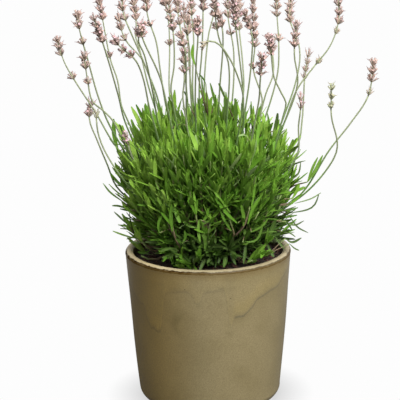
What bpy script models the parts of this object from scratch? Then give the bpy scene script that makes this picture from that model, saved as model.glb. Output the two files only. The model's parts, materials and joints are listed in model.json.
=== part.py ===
"""Potted lavender: a flowering lavender rooted in potting soil, in a tapered stoneware pot.

Run with: blender --background --python part.py

Units are metres, +Z is up and the origin is the centre of the pot's foot.
The pot and the soil are turned shapes. The plant grows from one woody crown in the soil:
leafy shoots and flower stalks stand on places set out round it like the seeds of a
sunflower, and each stalk carries a spike of flower whorls.
"""

import math

import bmesh
import bpy
from mathutils import Matrix, Vector
from mathutils.bvhtree import BVHTree
from mathutils.geometry import interpolate_bezier

# Room left between pieces that touch.
GAP = 0.0003
UP = Vector((0.0, 0.0, 1.0))

# The pot.
POT_HEIGHT = 0.186
RIM_RADIUS = 0.100
FOOT_RADIUS = 0.0874
FOOT_TUCK = 0.0025
FOOT_CORNER = 0.013
WALL = 0.010
FLOOR = 0.012
LIP_DROP = 0.0045
TURNED_STEPS = 40

# The soil, a few millimetres below the rim and slightly mounded to the crown.
SOIL_EDGE_Z = POT_HEIGHT - 0.011
SOIL_TOP_Z = POT_HEIGHT - 0.006
SOIL_CORNER = 0.008

# The woody crown: a low dome on the soil with a tap root in a socket below it.
CROWN_RADIUS = 0.044
CROWN_HEIGHT = 0.017
CROWN_EDGE = 0.003
CROWN_FOOT_Z = SOIL_TOP_Z + GAP
ROOT_RADIUS = 0.016
ROOT_LENGTH = 0.045
ROOT_TAPER = 0.6

# Places on the crown, one for each stem.
PLACES = 37
PLACES_RADIUS = 0.039
GOLDEN_ANGLE = math.pi * (3 - math.sqrt(5))

# Flower stems. A whorl's lip height and top width are shares of its height and radius, and
# in a flower head each whorl fills its share of the way to the next.
STALK_RADIUS = 0.0011
STALK_LAUNCH = 0.002
STALK_POINTS = 10
STALK_SPREAD = 0.30
CURVE_STEPS = 12
WHORL_RADIUS = 0.006
WHORL_NECK = 0.0014
WHORL_LIP_HEIGHT = 0.65
WHORL_TOP = 0.55
WHORL_SHARE = 0.94
LONE_WHORL_HEIGHT = 0.006
SPIKE_TAPER = 0.45
SPIKE_SIDES = 6

# Leafy shoots: their tips stand on an ellipsoid, and their leaves reach past it.
SHOOT_RADIUS = 0.0019
CANOPY_HALF_WIDTH = 0.092
CANOPY_HEIGHT = 0.112
CANOPY_BASE_Z = 0.220
CANOPY_WIDEST = math.radians(85)
TURN_STEP = math.radians(3)
TURN_TRIES = 25
LEAF_PAIRS = 5
LEAF_LENGTH = 0.044
LEAF_SEAT = 0.003
FIRST_PAIR = 0.40

# A leaf's rings: the share of its length, its lean from the stem, its width and thickness.
LEAF_STATIONS = (
    (0.55, math.radians(42), 0.0052, 0.0011),
    (1.00, math.radians(34), 0.0024, 0.0008),
)

# Each flower stem: the points that it passes from the top of the leaves to its tip, the
# length of its flower head, the whorls in it, and how far below it any lone whorls stand.
FLOWER_STEMS = (
    (((-0.112, -0.005, 0.320), (-0.130, 0.000, 0.352), (-0.156, 0.010, 0.392),
      (-0.168, 0.015, 0.414), (-0.176, 0.020, 0.442)), 0.015, 3, (0.008, 0.039)),
    (((-0.110, -0.030, 0.338), (-0.124, -0.035, 0.376), (-0.136, -0.035, 0.424),
      (-0.144, -0.040, 0.460), (-0.146, -0.040, 0.482)), 0.022, 4, (0.019,)),
    (((-0.108, 0.030, 0.252), (-0.122, 0.035, 0.284), (-0.134, 0.040, 0.314),
      (-0.142, 0.045, 0.336), (-0.140, 0.050, 0.360)), 0.021, 4, ()),
    (((-0.100, 0.030, 0.350), (-0.106, 0.035, 0.386), (-0.114, 0.040, 0.410),
      (-0.122, 0.045, 0.456), (-0.128, 0.050, 0.492)), 0.035, 6, (0.046,)),
    (((-0.064, -0.070, 0.370), (-0.070, -0.085, 0.408), (-0.078, -0.095, 0.432),
      (-0.094, -0.110, 0.450), (-0.102, -0.115, 0.462)), 0.035, 6, (0.014,)),
    (((-0.068, 0.060, 0.366), (-0.080, 0.080, 0.414), (-0.086, 0.090, 0.434),
      (-0.084, 0.090, 0.444), (-0.090, 0.110, 0.492)), 0.046, 7, ()),
    (((-0.048, -0.100, 0.402), (-0.054, -0.110, 0.424), (-0.068, -0.125, 0.460),
      (-0.070, -0.135, 0.476)), 0.015, 3, ()),
    (((-0.040, -0.050, 0.386), (-0.036, -0.050, 0.418), (-0.036, -0.055, 0.454),
      (-0.040, -0.055, 0.482), (-0.044, -0.055, 0.508)), 0.050, 7, ()),
    (((-0.026, -0.100, 0.390), (-0.024, -0.100, 0.408), (-0.024, -0.100, 0.446)), 0.034, 4, ()),
    (((-0.020, 0.090, 0.388), (-0.022, 0.110, 0.422), (-0.026, 0.125, 0.442),
      (-0.026, 0.140, 0.464)), 0.023, 4, ()),
    (((-0.008, 0.015, 0.376), (-0.004, 0.015, 0.424), (-0.002, 0.010, 0.472),
      (-0.002, 0.010, 0.498)), 0.026, 4, ()),
    (((0.042, -0.080, 0.376), (0.036, -0.095, 0.412), (0.020, -0.110, 0.446),
      (0.006, -0.115, 0.456), (-0.004, -0.120, 0.448)), 0.011, 2, ()),
    (((0.046, 0.080, 0.358), (0.046, 0.095, 0.392), (0.042, 0.120, 0.442), (0.044, 0.135, 0.474)),
     0.030, 4, (0.016,)),
    (((0.066, -0.010, 0.362), (0.056, -0.005, 0.404), (0.058, -0.005, 0.432),
      (0.056, 0.000, 0.490)), 0.060, 8, (0.026,)),
    (((0.070, 0.030, 0.336), (0.086, 0.035, 0.390), (0.088, 0.040, 0.428), (0.086, 0.045, 0.464),
      (0.086, 0.050, 0.492)), 0.034, 5, (0.029,)),
    (((0.058, -0.110, 0.382), (0.060, -0.130, 0.416), (0.062, -0.145, 0.446)), 0.029, 5, ()),
    (((0.102, 0.050, 0.356), (0.114, 0.065, 0.396), (0.114, 0.075, 0.420), (0.104, 0.090, 0.448),
      (0.106, 0.100, 0.478)), 0.035, 5, ()),
    (((0.092, 0.010, 0.334), (0.108, 0.010, 0.376), (0.128, 0.015, 0.402), (0.148, 0.015, 0.428),
      (0.158, 0.020, 0.458), (0.156, 0.020, 0.494)), 0.042, 6, (0.012, 0.054)),
    (((0.112, 0.000, 0.250), (0.146, 0.000, 0.304), (0.172, 0.000, 0.338), (0.192, 0.000, 0.370),
      (0.198, 0.000, 0.414)), 0.028, 5, (0.016,)),
    (((0.112, -0.035, 0.258), (0.140, -0.040, 0.290), (0.152, -0.045, 0.318),
      (0.144, -0.055, 0.358), (0.144, -0.060, 0.394)), 0.029, 3, ()),
)


def clear_scene():
    for obj in list(bpy.data.objects):
        bpy.data.objects.remove(obj)


def make_collection(name):
    collection = bpy.data.collections.new(name)
    bpy.context.scene.collection.children.link(collection)
    return collection


def make_material(name, color, roughness):
    material = bpy.data.materials.new(name)
    material.use_nodes = True
    shader = material.node_tree.nodes["Principled BSDF"]
    shader.inputs["Base Color"].default_value = (*color, 1.0)
    shader.inputs["Roughness"].default_value = roughness
    shader.inputs["Metallic"].default_value = 0.0
    return material


def add_object(name, data, material):
    obj = bpy.data.objects.new(name, data)
    obj.data.materials.append(material)
    lavender.objects.link(obj)
    return obj


def mesh_from(name, bm):
    bmesh.ops.recalc_face_normals(bm, faces=bm.faces)
    mesh = bpy.data.meshes.new(name)
    bm.to_mesh(mesh)
    bm.free()
    return mesh


def arc(centre, radii, start, end, steps):
    """Points of an elliptical arc in the XZ plane, from one angle to another in degrees."""
    angles = [math.radians(start + (end - start) * i / steps) for i in range(steps + 1)]
    return [(centre[0] + radii[0] * math.cos(a), centre[1] + radii[1] * math.sin(a)) for a in angles]


def turned(name, profile, material):
    """A solid of revolution: the profile runs down its outer side, top to bottom."""
    bm = bmesh.new()
    verts = [bm.verts.new((x, 0.0, z)) for x, z in profile]
    for upper, lower in zip(verts, verts[1:]):
        bm.edges.new((upper, lower))
    mesh = bpy.data.meshes.new(name)
    bm.to_mesh(mesh)
    bm.free()
    obj = add_object(name, mesh, material)
    screw = obj.modifiers.new("Turn", "SCREW")
    screw.steps = TURNED_STEPS
    screw.render_steps = TURNED_STEPS
    screw.use_merge_vertices = True
    screw.merge_threshold = 0.0001
    screw.use_smooth_shade = True
    return obj


# Pot and soil

def outer_radius(z):
    """The pot's outer wall: an even taper that tucks in a little more towards the foot."""
    down = 1 - z / POT_HEIGHT
    return RIM_RADIUS - (RIM_RADIUS - FOOT_RADIUS) * down - FOOT_TUCK * down**4


def inner_radius(z):
    return outer_radius(z) - WALL


def heights(top, bottom, steps):
    return [top + (bottom - top) * i / steps for i in range(steps + 1)]


def make_pot():
    lip_z = POT_HEIGHT - LIP_DROP
    lip = arc((RIM_RADIUS - WALL / 2, lip_z), (WALL / 2, LIP_DROP), 180, 0, 6)
    corner_r = outer_radius(FOOT_CORNER)
    corner = arc((corner_r - FOOT_CORNER, FOOT_CORNER), (FOOT_CORNER, FOOT_CORNER), 0, -90, 4)
    floor_corner_z = FLOOR + SOIL_CORNER
    floor_corner = arc(
        (inner_radius(floor_corner_z) - SOIL_CORNER, floor_corner_z), (SOIL_CORNER, SOIL_CORNER), -90, 0, 2
    )
    inside = [(inner_radius(z), z) for z in heights(floor_corner_z, lip_z, 3)[1:-1]]
    outside = [(outer_radius(z), z) for z in heights(lip_z, FOOT_CORNER, 5)[1:-1]]
    profile = [(0.0, FLOOR), *floor_corner, *inside, *lip, *outside, *corner, (0.0, 0.0)]
    return turned("pot", profile, stoneware)


def make_soil():
    socket_z = CROWN_FOOT_Z - ROOT_LENGTH - GAP
    socket_r = ROOT_RADIUS + GAP
    corner_z = FLOOR + SOIL_CORNER
    corner = arc(
        (inner_radius(corner_z) - SOIL_CORNER, corner_z),
        (SOIL_CORNER - GAP, SOIL_CORNER - GAP), 0, -90, 2
    )
    side = [(inner_radius(z) - GAP, z) for z in heights(SOIL_EDGE_Z, corner_z, 3)[:-1]]
    profile = [
        (0.0, socket_z),
        (socket_r * ROOT_TAPER, socket_z),
        (socket_r, SOIL_TOP_Z),
        (CROWN_RADIUS, SOIL_TOP_Z),
        *side,
        *corner,
        (0.0, FLOOR + GAP),
    ]
    return turned("potting_soil", profile, soil)


# Crown

def crown_point(radius, azimuth):
    """A point on the crown's dome and the direction straight out of the dome there."""
    share = radius / CROWN_RADIUS
    point = Vector((
        radius * math.cos(azimuth),
        radius * math.sin(azimuth),
        CROWN_FOOT_Z + CROWN_EDGE + CROWN_HEIGHT * (1 - share**2),
    ))
    slope = 2 * CROWN_HEIGHT * share / CROWN_RADIUS
    normal = Vector((slope * math.cos(azimuth), slope * math.sin(azimuth), 1.0)).normalized()
    return point, normal


def make_crown():
    dome = []
    for step in range(6):
        point, _ = crown_point(CROWN_RADIUS * step / 5, 0.0)
        dome.append((point.x, point.z))
    profile = [
        *dome,
        (CROWN_RADIUS, CROWN_FOOT_Z),
        (ROOT_RADIUS, CROWN_FOOT_Z),
        (ROOT_RADIUS * ROOT_TAPER, CROWN_FOOT_Z - ROOT_LENGTH),
        (0.0, CROWN_FOOT_Z - ROOT_LENGTH),
    ]
    return turned("woody_crown", profile, wood)


def crown_places():
    """Places on the crown, spread by the golden angle, as (radius, azimuth)."""
    return [
        (PLACES_RADIUS * math.sqrt((i + 0.5) / PLACES), i * GOLDEN_ANGLE) for i in range(PLACES)
    ]


def take_nearest(places, x, y):
    """Takes out of the free places the one that lies nearest to (x, y)."""
    nearest = min(places, key=lambda p: (p[0] * math.cos(p[1]) - x)**2 + (p[0] * math.sin(p[1]) - y)**2)
    places.remove(nearest)
    return nearest


# Stems

def smooth_curve(points, first_direction, steps):
    """Points along one smooth curve through the given points, leaving in the first direction."""
    directions = [first_direction]
    for before, after in zip(points, points[2:]):
        directions.append((after - before).normalized())
    directions.append((points[-1] - points[-2]).normalized())
    curve = [points[0]]
    for i in range(len(points) - 1):
        handle = (points[i + 1] - points[i]).length / 3
        curve += interpolate_bezier(
            points[i], points[i] + directions[i] * handle,
            points[i + 1] - directions[i + 1] * handle, points[i + 1], steps + 1,
        )[1:]
    return curve


def length_of(curve):
    return sum((b - a).length for a, b in zip(curve, curve[1:]))


def point_at(curve, distance):
    """The point at a distance along a curve, and the curve's direction there."""
    for a, b in zip(curve, curve[1:]):
        step = (b - a).length
        if distance <= step:
            break
        distance -= step
    direction = (b - a).normalized()
    return a + direction * min(distance, step), direction


def extrude_to(bm, face, corners):
    """Extrudes one face and moves the new face's corners to the given points."""
    face = bmesh.ops.extrude_discrete_faces(bm, faces=[face])["faces"][0]
    for vert, corner in zip(face.verts, corners):
        vert.co = corner
    return face


def sweep(curve, sides, turned_by, rings):
    """A closed form along the curve with a ring at each (distance, radius).

    Returns its bmesh and, for each step from one ring to the next, the side faces.
    """
    bm = bmesh.new()
    turn = Matrix.Rotation(turned_by, 4, "Z")
    circle = bmesh.ops.create_circle(bm, cap_ends=True, segments=sides, radius=1.0, matrix=turn)
    face = circle["verts"][0].link_faces[0]
    outline = [vert.co.copy() for vert in face.verts]
    steps = []
    for i, (distance, radius) in enumerate(rings):
        point, direction = point_at(curve, distance)
        turn = UP.rotation_difference(direction)
        corners = [point + turn @ (side * radius) for side in outline]
        if i == 0:
            for vert, corner in zip(face.verts, corners):
                vert.co = corner
            continue
        before = set(bm.faces)
        face = extrude_to(bm, face, corners)
        steps.append([side for side in bm.faces if side not in before and side is not face])
    bmesh.ops.holes_fill(bm, edges=[edge for edge in bm.edges if edge.is_boundary])
    bm.normal_update()
    return bm, steps


def make_stalk(name, curve, end):
    """A flower stalk: a thin tube along the curve, from the crown to where its spike starts."""
    top = end - GAP
    distances = [0.0, *heights(STALK_LAUNCH, top - STALK_LAUNCH, STALK_POINTS), top]
    points = [point_at(curve, distance)[0] for distance in distances]
    data = bpy.data.curves.new(name, "CURVE")
    data.dimensions = "3D"
    data.bevel_depth = STALK_RADIUS
    data.bevel_resolution = 1
    data.use_fill_caps = True
    spline = data.splines.new("POLY")
    spline.points.add(len(points) - 1)
    for spline_point, point in zip(spline.points, points):
        spline_point.co = (*point, 1.0)
    return add_object(name, data, stalk)


def whorl_rings(foot, height, radius):
    """The rings of one whorl: a neck that flares into a crown of calyces and closes again."""
    lip = foot + WHORL_LIP_HEIGHT * height
    return [(foot, WHORL_NECK), (lip, radius), (foot + height, WHORL_TOP * radius)]


def spike_rings(total, head, whorls, lone):
    """Every ring of a spike from its foot to its tip, as (distance along the stem, radius)."""
    head_start = total - head
    lone_feet = sorted(head_start - gap for gap in lone)
    rings = [(min([head_start, *lone_feet]) - WHORL_NECK, STALK_RADIUS)]
    for foot in lone_feet:
        rings += whorl_rings(foot, LONE_WHORL_HEIGHT, WHORL_RADIUS)
        rings.append((foot + LONE_WHORL_HEIGHT + STALK_RADIUS, STALK_RADIUS))
    pitch = head / whorls
    for i in range(whorls):
        narrowing = 1 - SPIKE_TAPER * (i / whorls)**2
        rings += whorl_rings(head_start + pitch * i, pitch * WHORL_SHARE, WHORL_RADIUS * narrowing)
    return rings


def make_spike(name, curve, rings):
    """A flower spike: stacked whorls on the top of the stem."""
    bm, _ = sweep(curve, SPIKE_SIDES, 0.0, rings)
    mesh = mesh_from(name, bm)
    mesh.shade_smooth()
    return add_object(name, mesh, flower)


# Leafy shoots

def leaf_rings(seat, stem_direction):
    """The corners of each ring of a leaf that leaves a side face of a stem and bends along it."""
    middle = seat.calc_center_median()
    out = seat.normal.copy()
    across = stem_direction.cross(out).normalized()
    up = out.cross(across)
    sides = [math.copysign(1, (vert.co - middle).dot(across)) for vert in seat.verts]
    levels = [math.copysign(1, (vert.co - middle).dot(up)) for vert in seat.verts]
    rings = []
    for reach, lean, width, thickness in LEAF_STATIONS:
        centre = middle + (up * math.cos(lean) + out * math.sin(lean)) * LEAF_LENGTH * reach
        face_up = up * math.sin(lean) - out * math.cos(lean)
        rings.append([
            centre + across * side * width / 2 + face_up * level * thickness / 2
            for side, level in zip(sides, levels)
        ])
    return rings


def has_room(rings, neighbours):
    """Whether a leaf with these rings clears every neighbour."""
    corners = [corner for ring in rings for corner in ring]
    walls = [(i, (i + 1) % 4, (i + 1) % 4 + 4, i + 4) for i in range(4)]
    tree = BVHTree.FromPolygons(corners, walls)
    return not any(tree.overlap(neighbour) for neighbour in neighbours)


def shoot_mesh(curve, turned_by, neighbours):
    """A leafy shoot: a square stem, its side faces drawn out into crosswise pairs of leaves.

    A leaf with no room among the neighbours is left out. Returns the bmesh and its leaves' number.
    """
    total = length_of(curve)
    pair_feet = heights(total * FIRST_PAIR, total - LEAF_SEAT, LEAF_PAIRS - 1)
    rings = [(0.0, SHOOT_RADIUS)]
    for foot in pair_feet:
        rings += [(foot, SHOOT_RADIUS), (foot + LEAF_SEAT, SHOOT_RADIUS)]
    bm, steps = sweep(curve, 4, turned_by, rings)
    leaves = 0
    for pair, (foot, sides) in enumerate(zip(pair_feet, steps[1::2])):
        stem_direction = point_at(curve, foot)[1]
        for seat in sides[pair % 2::2]:
            blade = leaf_rings(seat, stem_direction)
            if has_room(blade, neighbours):
                leaves += 1
                for corners in blade:
                    seat = extrude_to(bm, seat, corners)
    return bm, leaves


def make_shoot(name, place, spread, neighbours):
    """A shoot on its place, turned the way that leaves room for most of its leaves.

    Its tip stands at the canopy's top at a spread of 0 and at its widest at a spread of 1.
    """
    radius, azimuth = place
    base, normal = crown_point(radius, azimuth)
    polar = CANOPY_WIDEST * spread
    best = None
    most = 0
    for attempt in sorted(range(-TURN_TRIES, TURN_TRIES + 1), key=abs):
        aim = azimuth + attempt * TURN_STEP
        tip = Vector((
            CANOPY_HALF_WIDTH * math.sin(polar) * math.cos(aim),
            CANOPY_HALF_WIDTH * math.sin(polar) * math.sin(aim),
            CANOPY_BASE_Z + CANOPY_HEIGHT * math.cos(polar),
        ))
        curve = smooth_curve([base + normal * GAP, tip], normal, CURVE_STEPS)
        bm, leaves = shoot_mesh(curve, attempt * GOLDEN_ANGLE, neighbours)
        tree = BVHTree.FromBMesh(bm)
        if leaves > most and not any(tree.overlap(neighbour) for neighbour in neighbours):
            best = (mesh_from(name, bm), tree)
            most = leaves
        else:
            bm.free()
        if most == 2 * LEAF_PAIRS:
            break
    mesh, tree = best
    neighbours.append(tree)
    return add_object(name, mesh, leaf)


clear_scene()
lavender = make_collection("potted_lavender")

stoneware = make_material("stoneware_glaze", (0.27, 0.22, 0.11), 0.30)
soil = make_material("potting_soil", (0.035, 0.018, 0.012), 0.95)
wood = make_material("lavender_wood", (0.16, 0.11, 0.07), 0.85)
leaf = make_material("lavender_leaf", (0.13, 0.27, 0.05), 0.55)
stalk = make_material("lavender_stalk", (0.24, 0.27, 0.17), 0.60)
flower = make_material("lavender_flower", (0.50, 0.30, 0.27), 0.70)

make_pot()
make_soil()
make_crown()

places = crown_places()
for number, (points, head, whorls, lone) in enumerate(FLOWER_STEMS, start=1):
    first = Vector(points[0])
    base, normal = crown_point(*take_nearest(places, first.x * STALK_SPREAD, first.y * STALK_SPREAD))
    curve = smooth_curve([base + normal * GAP, *map(Vector, points)], normal, CURVE_STEPS)
    rings = spike_rings(length_of(curve), head, whorls, lone)
    make_stalk(f"flower_stalk_{number:02d}", curve, rings[0][0])
    make_spike(f"flower_spike_{number:02d}", curve, rings)

bpy.context.view_layer.update()
graph = bpy.context.evaluated_depsgraph_get()
standing = [BVHTree.FromObject(obj, graph) for obj in lavender.objects]
for number, place in enumerate(places, start=1):
    make_shoot(f"leafy_shoot_{number:02d}", place, math.sqrt(number / len(places)), standing)
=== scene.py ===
# %% [markdown]
# # A lavender in a stoneware pot
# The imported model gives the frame: a glazed pot, potting soil, a woody crown, flower stalks with
# their spikes, and leafy shoots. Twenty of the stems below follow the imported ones. Twenty-five
# further stems, and most of the fine shoots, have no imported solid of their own.

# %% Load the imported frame
import json
import math
import random

import bmesh
import bpy
from mathutils import Matrix, Vector, noise
from mathutils.geometry import interpolate_bezier

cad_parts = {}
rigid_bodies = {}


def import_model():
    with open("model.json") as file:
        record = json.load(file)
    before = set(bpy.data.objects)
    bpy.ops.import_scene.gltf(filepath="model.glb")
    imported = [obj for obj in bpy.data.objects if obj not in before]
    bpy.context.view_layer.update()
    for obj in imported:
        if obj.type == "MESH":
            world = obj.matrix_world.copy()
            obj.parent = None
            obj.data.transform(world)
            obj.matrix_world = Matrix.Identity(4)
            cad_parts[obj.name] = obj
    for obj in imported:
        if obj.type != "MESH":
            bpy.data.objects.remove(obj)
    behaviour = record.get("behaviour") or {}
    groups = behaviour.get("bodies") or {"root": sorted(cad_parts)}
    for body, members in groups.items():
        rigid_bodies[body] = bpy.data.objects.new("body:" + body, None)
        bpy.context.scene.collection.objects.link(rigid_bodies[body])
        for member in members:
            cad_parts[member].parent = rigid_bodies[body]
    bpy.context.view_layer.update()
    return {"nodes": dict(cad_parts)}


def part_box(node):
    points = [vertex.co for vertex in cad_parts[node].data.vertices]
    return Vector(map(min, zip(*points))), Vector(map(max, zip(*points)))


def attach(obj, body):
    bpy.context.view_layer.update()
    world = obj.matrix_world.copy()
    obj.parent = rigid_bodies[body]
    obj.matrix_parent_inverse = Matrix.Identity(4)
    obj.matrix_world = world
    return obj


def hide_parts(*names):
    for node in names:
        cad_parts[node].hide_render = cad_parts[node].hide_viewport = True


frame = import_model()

UP = Vector((0.0, 0.0, 1.0))
print("nodes:", len(frame["nodes"]))

# %% [markdown]
# ## The camera
# A long lens stands about two metres away and a little above the plant, and looks down on it, so
# that the soil shows inside the rim. A turn about X tips the camera, and small turns about Z swing
# and level it. A long lens keeps the pot's sides nearly parallel.

# %% Camera
camera_data = bpy.data.cameras.new("portrait_lens")
camera_data.sensor_width = 36.0
camera_data.lens = 147.02
camera_data.clip_end = 100.0
camera = bpy.data.objects.new("portrait_camera", camera_data)
bpy.context.scene.collection.objects.link(camera)
tip_down = Matrix.Rotation(math.radians(90 - 14.63), 4, "X")
swing = Matrix.Rotation(math.radians(0.27), 4, "Z")
level = Matrix.Rotation(math.radians(-0.87), 4, "Z")
camera.matrix_world = Matrix.Translation((0.0, -1.9, 0.741)) @ swing @ tip_down @ level
bpy.context.scene.camera = camera

# %% [markdown]
# ## Floor and light
# The plant stands on a white table that runs on past the view. Where it is looked at, the table
# only glows, like white paper, and a painted contact shadow darkens the glow close to the pot's
# foot. All other light meets a dark table that gets lighter behind the plant, so that the pot
# keeps its dark side. One big soft lamp stands in front, to the right and above. A dim sky,
# lighter overhead and behind, fills the rest.

# %% Floor
def make_table_finish():
    material = bpy.data.materials.new("white_table")
    material.use_nodes = True
    tree = material.node_tree
    shader = tree.nodes["Principled BSDF"]
    shader.inputs["Roughness"].default_value = 0.9
    shader.inputs["Specular IOR Level"].default_value = 0.0
    place = tree.nodes.new("ShaderNodeSeparateXYZ")
    tree.links.new(tree.nodes.new("ShaderNodeTexCoord").outputs["Object"], place.inputs["Vector"])
    behind = tree.nodes.new("ShaderNodeMapRange")
    behind.inputs["From Min"].default_value = 0.25
    behind.inputs["From Max"].default_value = 1.3
    behind.inputs["To Min"].default_value = 0.12
    behind.inputs["To Max"].default_value = 0.80
    tree.links.new(place.outputs["Y"], behind.inputs["Value"])
    tree.links.new(behind.outputs["Result"], shader.inputs["Base Color"])
    glow = tree.nodes.new("ShaderNodeEmission")
    glow.inputs["Color"].default_value = (0.983, 0.983, 0.983, 1.0)
    # Painted contact shadow: an occlusion node dims the glow close to the pot's foot.
    corner = tree.nodes.new("ShaderNodeAmbientOcclusion")
    corner.inputs["Distance"].default_value = 0.045
    painted_contact_shadow = tree.nodes.new("ShaderNodeMapRange")
    painted_contact_shadow.inputs["From Min"].default_value = 0.45
    painted_contact_shadow.inputs["From Max"].default_value = 1.0
    painted_contact_shadow.inputs["To Min"].default_value = 0.70
    painted_contact_shadow.inputs["To Max"].default_value = 1.0
    tree.links.new(corner.outputs["AO"], painted_contact_shadow.inputs["Value"])
    tree.links.new(painted_contact_shadow.outputs["Result"], glow.inputs["Strength"])
    seen = tree.nodes.new("ShaderNodeLightPath").outputs["Is Camera Ray"]
    choice = tree.nodes.new("ShaderNodeMixShader")
    tree.links.new(seen, choice.inputs["Fac"])
    tree.links.new(shader.outputs["BSDF"], choice.inputs[1])
    tree.links.new(glow.outputs["Emission"], choice.inputs[2])
    tree.links.new(choice.outputs["Shader"], tree.nodes["Material Output"].inputs["Surface"])
    return material


bm = bmesh.new()
bmesh.ops.create_circle(bm, cap_ends=True, segments=96, radius=14.0)
floor_mesh = bpy.data.meshes.new("studio_floor")
bm.to_mesh(floor_mesh)
bm.free()
floor = bpy.data.objects.new("studio_floor", floor_mesh)
floor_mesh.materials.append(make_table_finish())
bpy.context.scene.collection.objects.link(floor)

# %% Sky and lamp
def make_sky():
    """A dim sky, lighter overhead and behind, that lights the scene and shows as white."""
    sky = bpy.data.worlds.new("white_sky")
    sky.use_nodes = True
    tree = sky.node_tree
    dim = tree.nodes["Background"]
    direction = tree.nodes.new("ShaderNodeTexCoord").outputs["Generated"]
    split = tree.nodes.new("ShaderNodeSeparateXYZ")
    tree.links.new(direction, split.inputs["Vector"])
    parts = []
    for axis, low, high, weak, strong in (("Z", 0.10, 1.0, 0.17, 1.15), ("Y", 0.30, 1.0, 0.0, 0.50)):
        rise = tree.nodes.new("ShaderNodeMapRange")
        rise.inputs["From Min"].default_value = low
        rise.inputs["From Max"].default_value = high
        rise.inputs["To Min"].default_value = weak
        rise.inputs["To Max"].default_value = strong
        tree.links.new(split.outputs[axis], rise.inputs["Value"])
        parts.append(rise.outputs["Result"])
    total = tree.nodes.new("ShaderNodeMath")
    tree.links.new(parts[0], total.inputs[0])
    tree.links.new(parts[1], total.inputs[1])
    tree.links.new(total.outputs["Value"], dim.inputs["Strength"])
    white = tree.nodes.new("ShaderNodeBackground")
    white.inputs["Strength"].default_value = 0.983
    white.inputs["Color"].default_value = (1.0, 1.0, 1.0, 1.0)
    dim.inputs["Color"].default_value = (1.0, 1.0, 1.0, 1.0)
    seen = tree.nodes.new("ShaderNodeLightPath").outputs["Is Camera Ray"]
    choice = tree.nodes.new("ShaderNodeMixShader")
    tree.links.new(seen, choice.inputs["Fac"])
    tree.links.new(dim.outputs["Background"], choice.inputs[1])
    tree.links.new(white.outputs["Background"], choice.inputs[2])
    tree.links.new(choice.outputs["Shader"], tree.nodes["World Output"].inputs["Surface"])
    return sky


def add_lamp(name, place, aim, size, watts):
    data = bpy.data.lights.new(name, "AREA")
    data.shape = "DISK"
    data.size = size
    data.energy = watts
    lamp = bpy.data.objects.new(name, data)
    lamp.location = place
    lamp.rotation_euler = (Vector(aim) - Vector(place)).to_track_quat("-Z", "Y").to_euler()
    bpy.context.scene.collection.objects.link(lamp)


bpy.context.scene.world = make_sky()
add_lamp("soft_key", (1.02, -1.80, 2.40), (0.0, 0.0, 0.2), 2.1, 184.0)
bpy.context.scene.view_settings.view_transform = "Standard"

# %% [markdown]
# ## Shader helpers
# Each finish is a small tree of nodes. These helpers add one node and give back the socket that
# carries its result, so that a finish reads from top to bottom.

# %% Shader helpers
def start_finish(name, roughness, coat=0.0):
    """A material with its shader; returns the material, its tree and the shader."""
    material = bpy.data.materials.new(name)
    material.use_nodes = True
    shader = material.node_tree.nodes["Principled BSDF"]
    shader.inputs["Roughness"].default_value = roughness
    shader.inputs["Coat Weight"].default_value = coat
    shader.inputs["Coat Roughness"].default_value = 0.25
    return material, material.node_tree, shader


def object_place(tree, stretch=(1.0, 1.0, 1.0)):
    place = tree.nodes.new("ShaderNodeTexCoord").outputs["Object"]
    mapping = tree.nodes.new("ShaderNodeMapping")
    mapping.inputs["Scale"].default_value = stretch
    tree.links.new(place, mapping.inputs["Vector"])
    return mapping.outputs["Vector"]


def attribute(tree, name):
    node = tree.nodes.new("ShaderNodeAttribute")
    node.attribute_name = name
    return node.outputs["Fac"]


def plug(tree, socket, value):
    """Links a socket, or sets a plain number or colour."""
    if isinstance(value, bpy.types.NodeSocket):
        tree.links.new(value, socket)
    elif isinstance(value, tuple):
        socket.default_value = (*value, 1.0) if len(socket.default_value) == 4 else value
    else:
        socket.default_value = value


def calculate(tree, operation, first, second=0.0):
    node = tree.nodes.new("ShaderNodeMath")
    node.operation = operation
    for socket, value in zip(node.inputs, (first, second)):
        plug(tree, socket, value)
    return node.outputs["Value"]


def clouds(tree, vector, scale):
    node = tree.nodes.new("ShaderNodeTexNoise")
    plug(tree, node.inputs["Vector"], vector)
    node.inputs["Scale"].default_value = scale
    node.inputs["Detail"].default_value = 3.0
    node.inputs["Roughness"].default_value = 0.55
    return node.outputs["Fac"]


def remap(tree, value, low, high, to_low=0.0, to_high=1.0):
    node = tree.nodes.new("ShaderNodeMapRange")
    node.interpolation_type = "SMOOTHSTEP"
    plug(tree, node.inputs["Value"], value)
    for name, number in zip(("From Min", "From Max", "To Min", "To Max"), (low, high, to_low, to_high)):
        node.inputs[name].default_value = number
    return node.outputs["Result"]


def blend(tree, share, first, second, way="MIX"):
    node = tree.nodes.new("ShaderNodeMix")
    node.data_type = "RGBA"
    node.blend_type = way
    node.clamp_factor = True
    plug(tree, node.inputs[0], share)
    plug(tree, node.inputs[6], first)
    plug(tree, node.inputs[7], second)
    return node.outputs[2]


def raise_bumps(tree, shader, height, strength, distance):
    node = tree.nodes.new("ShaderNodeBump")
    node.inputs["Strength"].default_value = strength
    node.inputs["Distance"].default_value = distance
    plug(tree, node.inputs["Height"], height)
    tree.links.new(node.outputs["Normal"], shader.inputs["Normal"])


# %% [markdown]
# ## One group for every mottled surface
# Glaze, bark, soil, leaves and petals all vary in two ways: broad soft patches and a fine grain.
# One node group gives both as masks, and each finish sets its own sizes.

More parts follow.
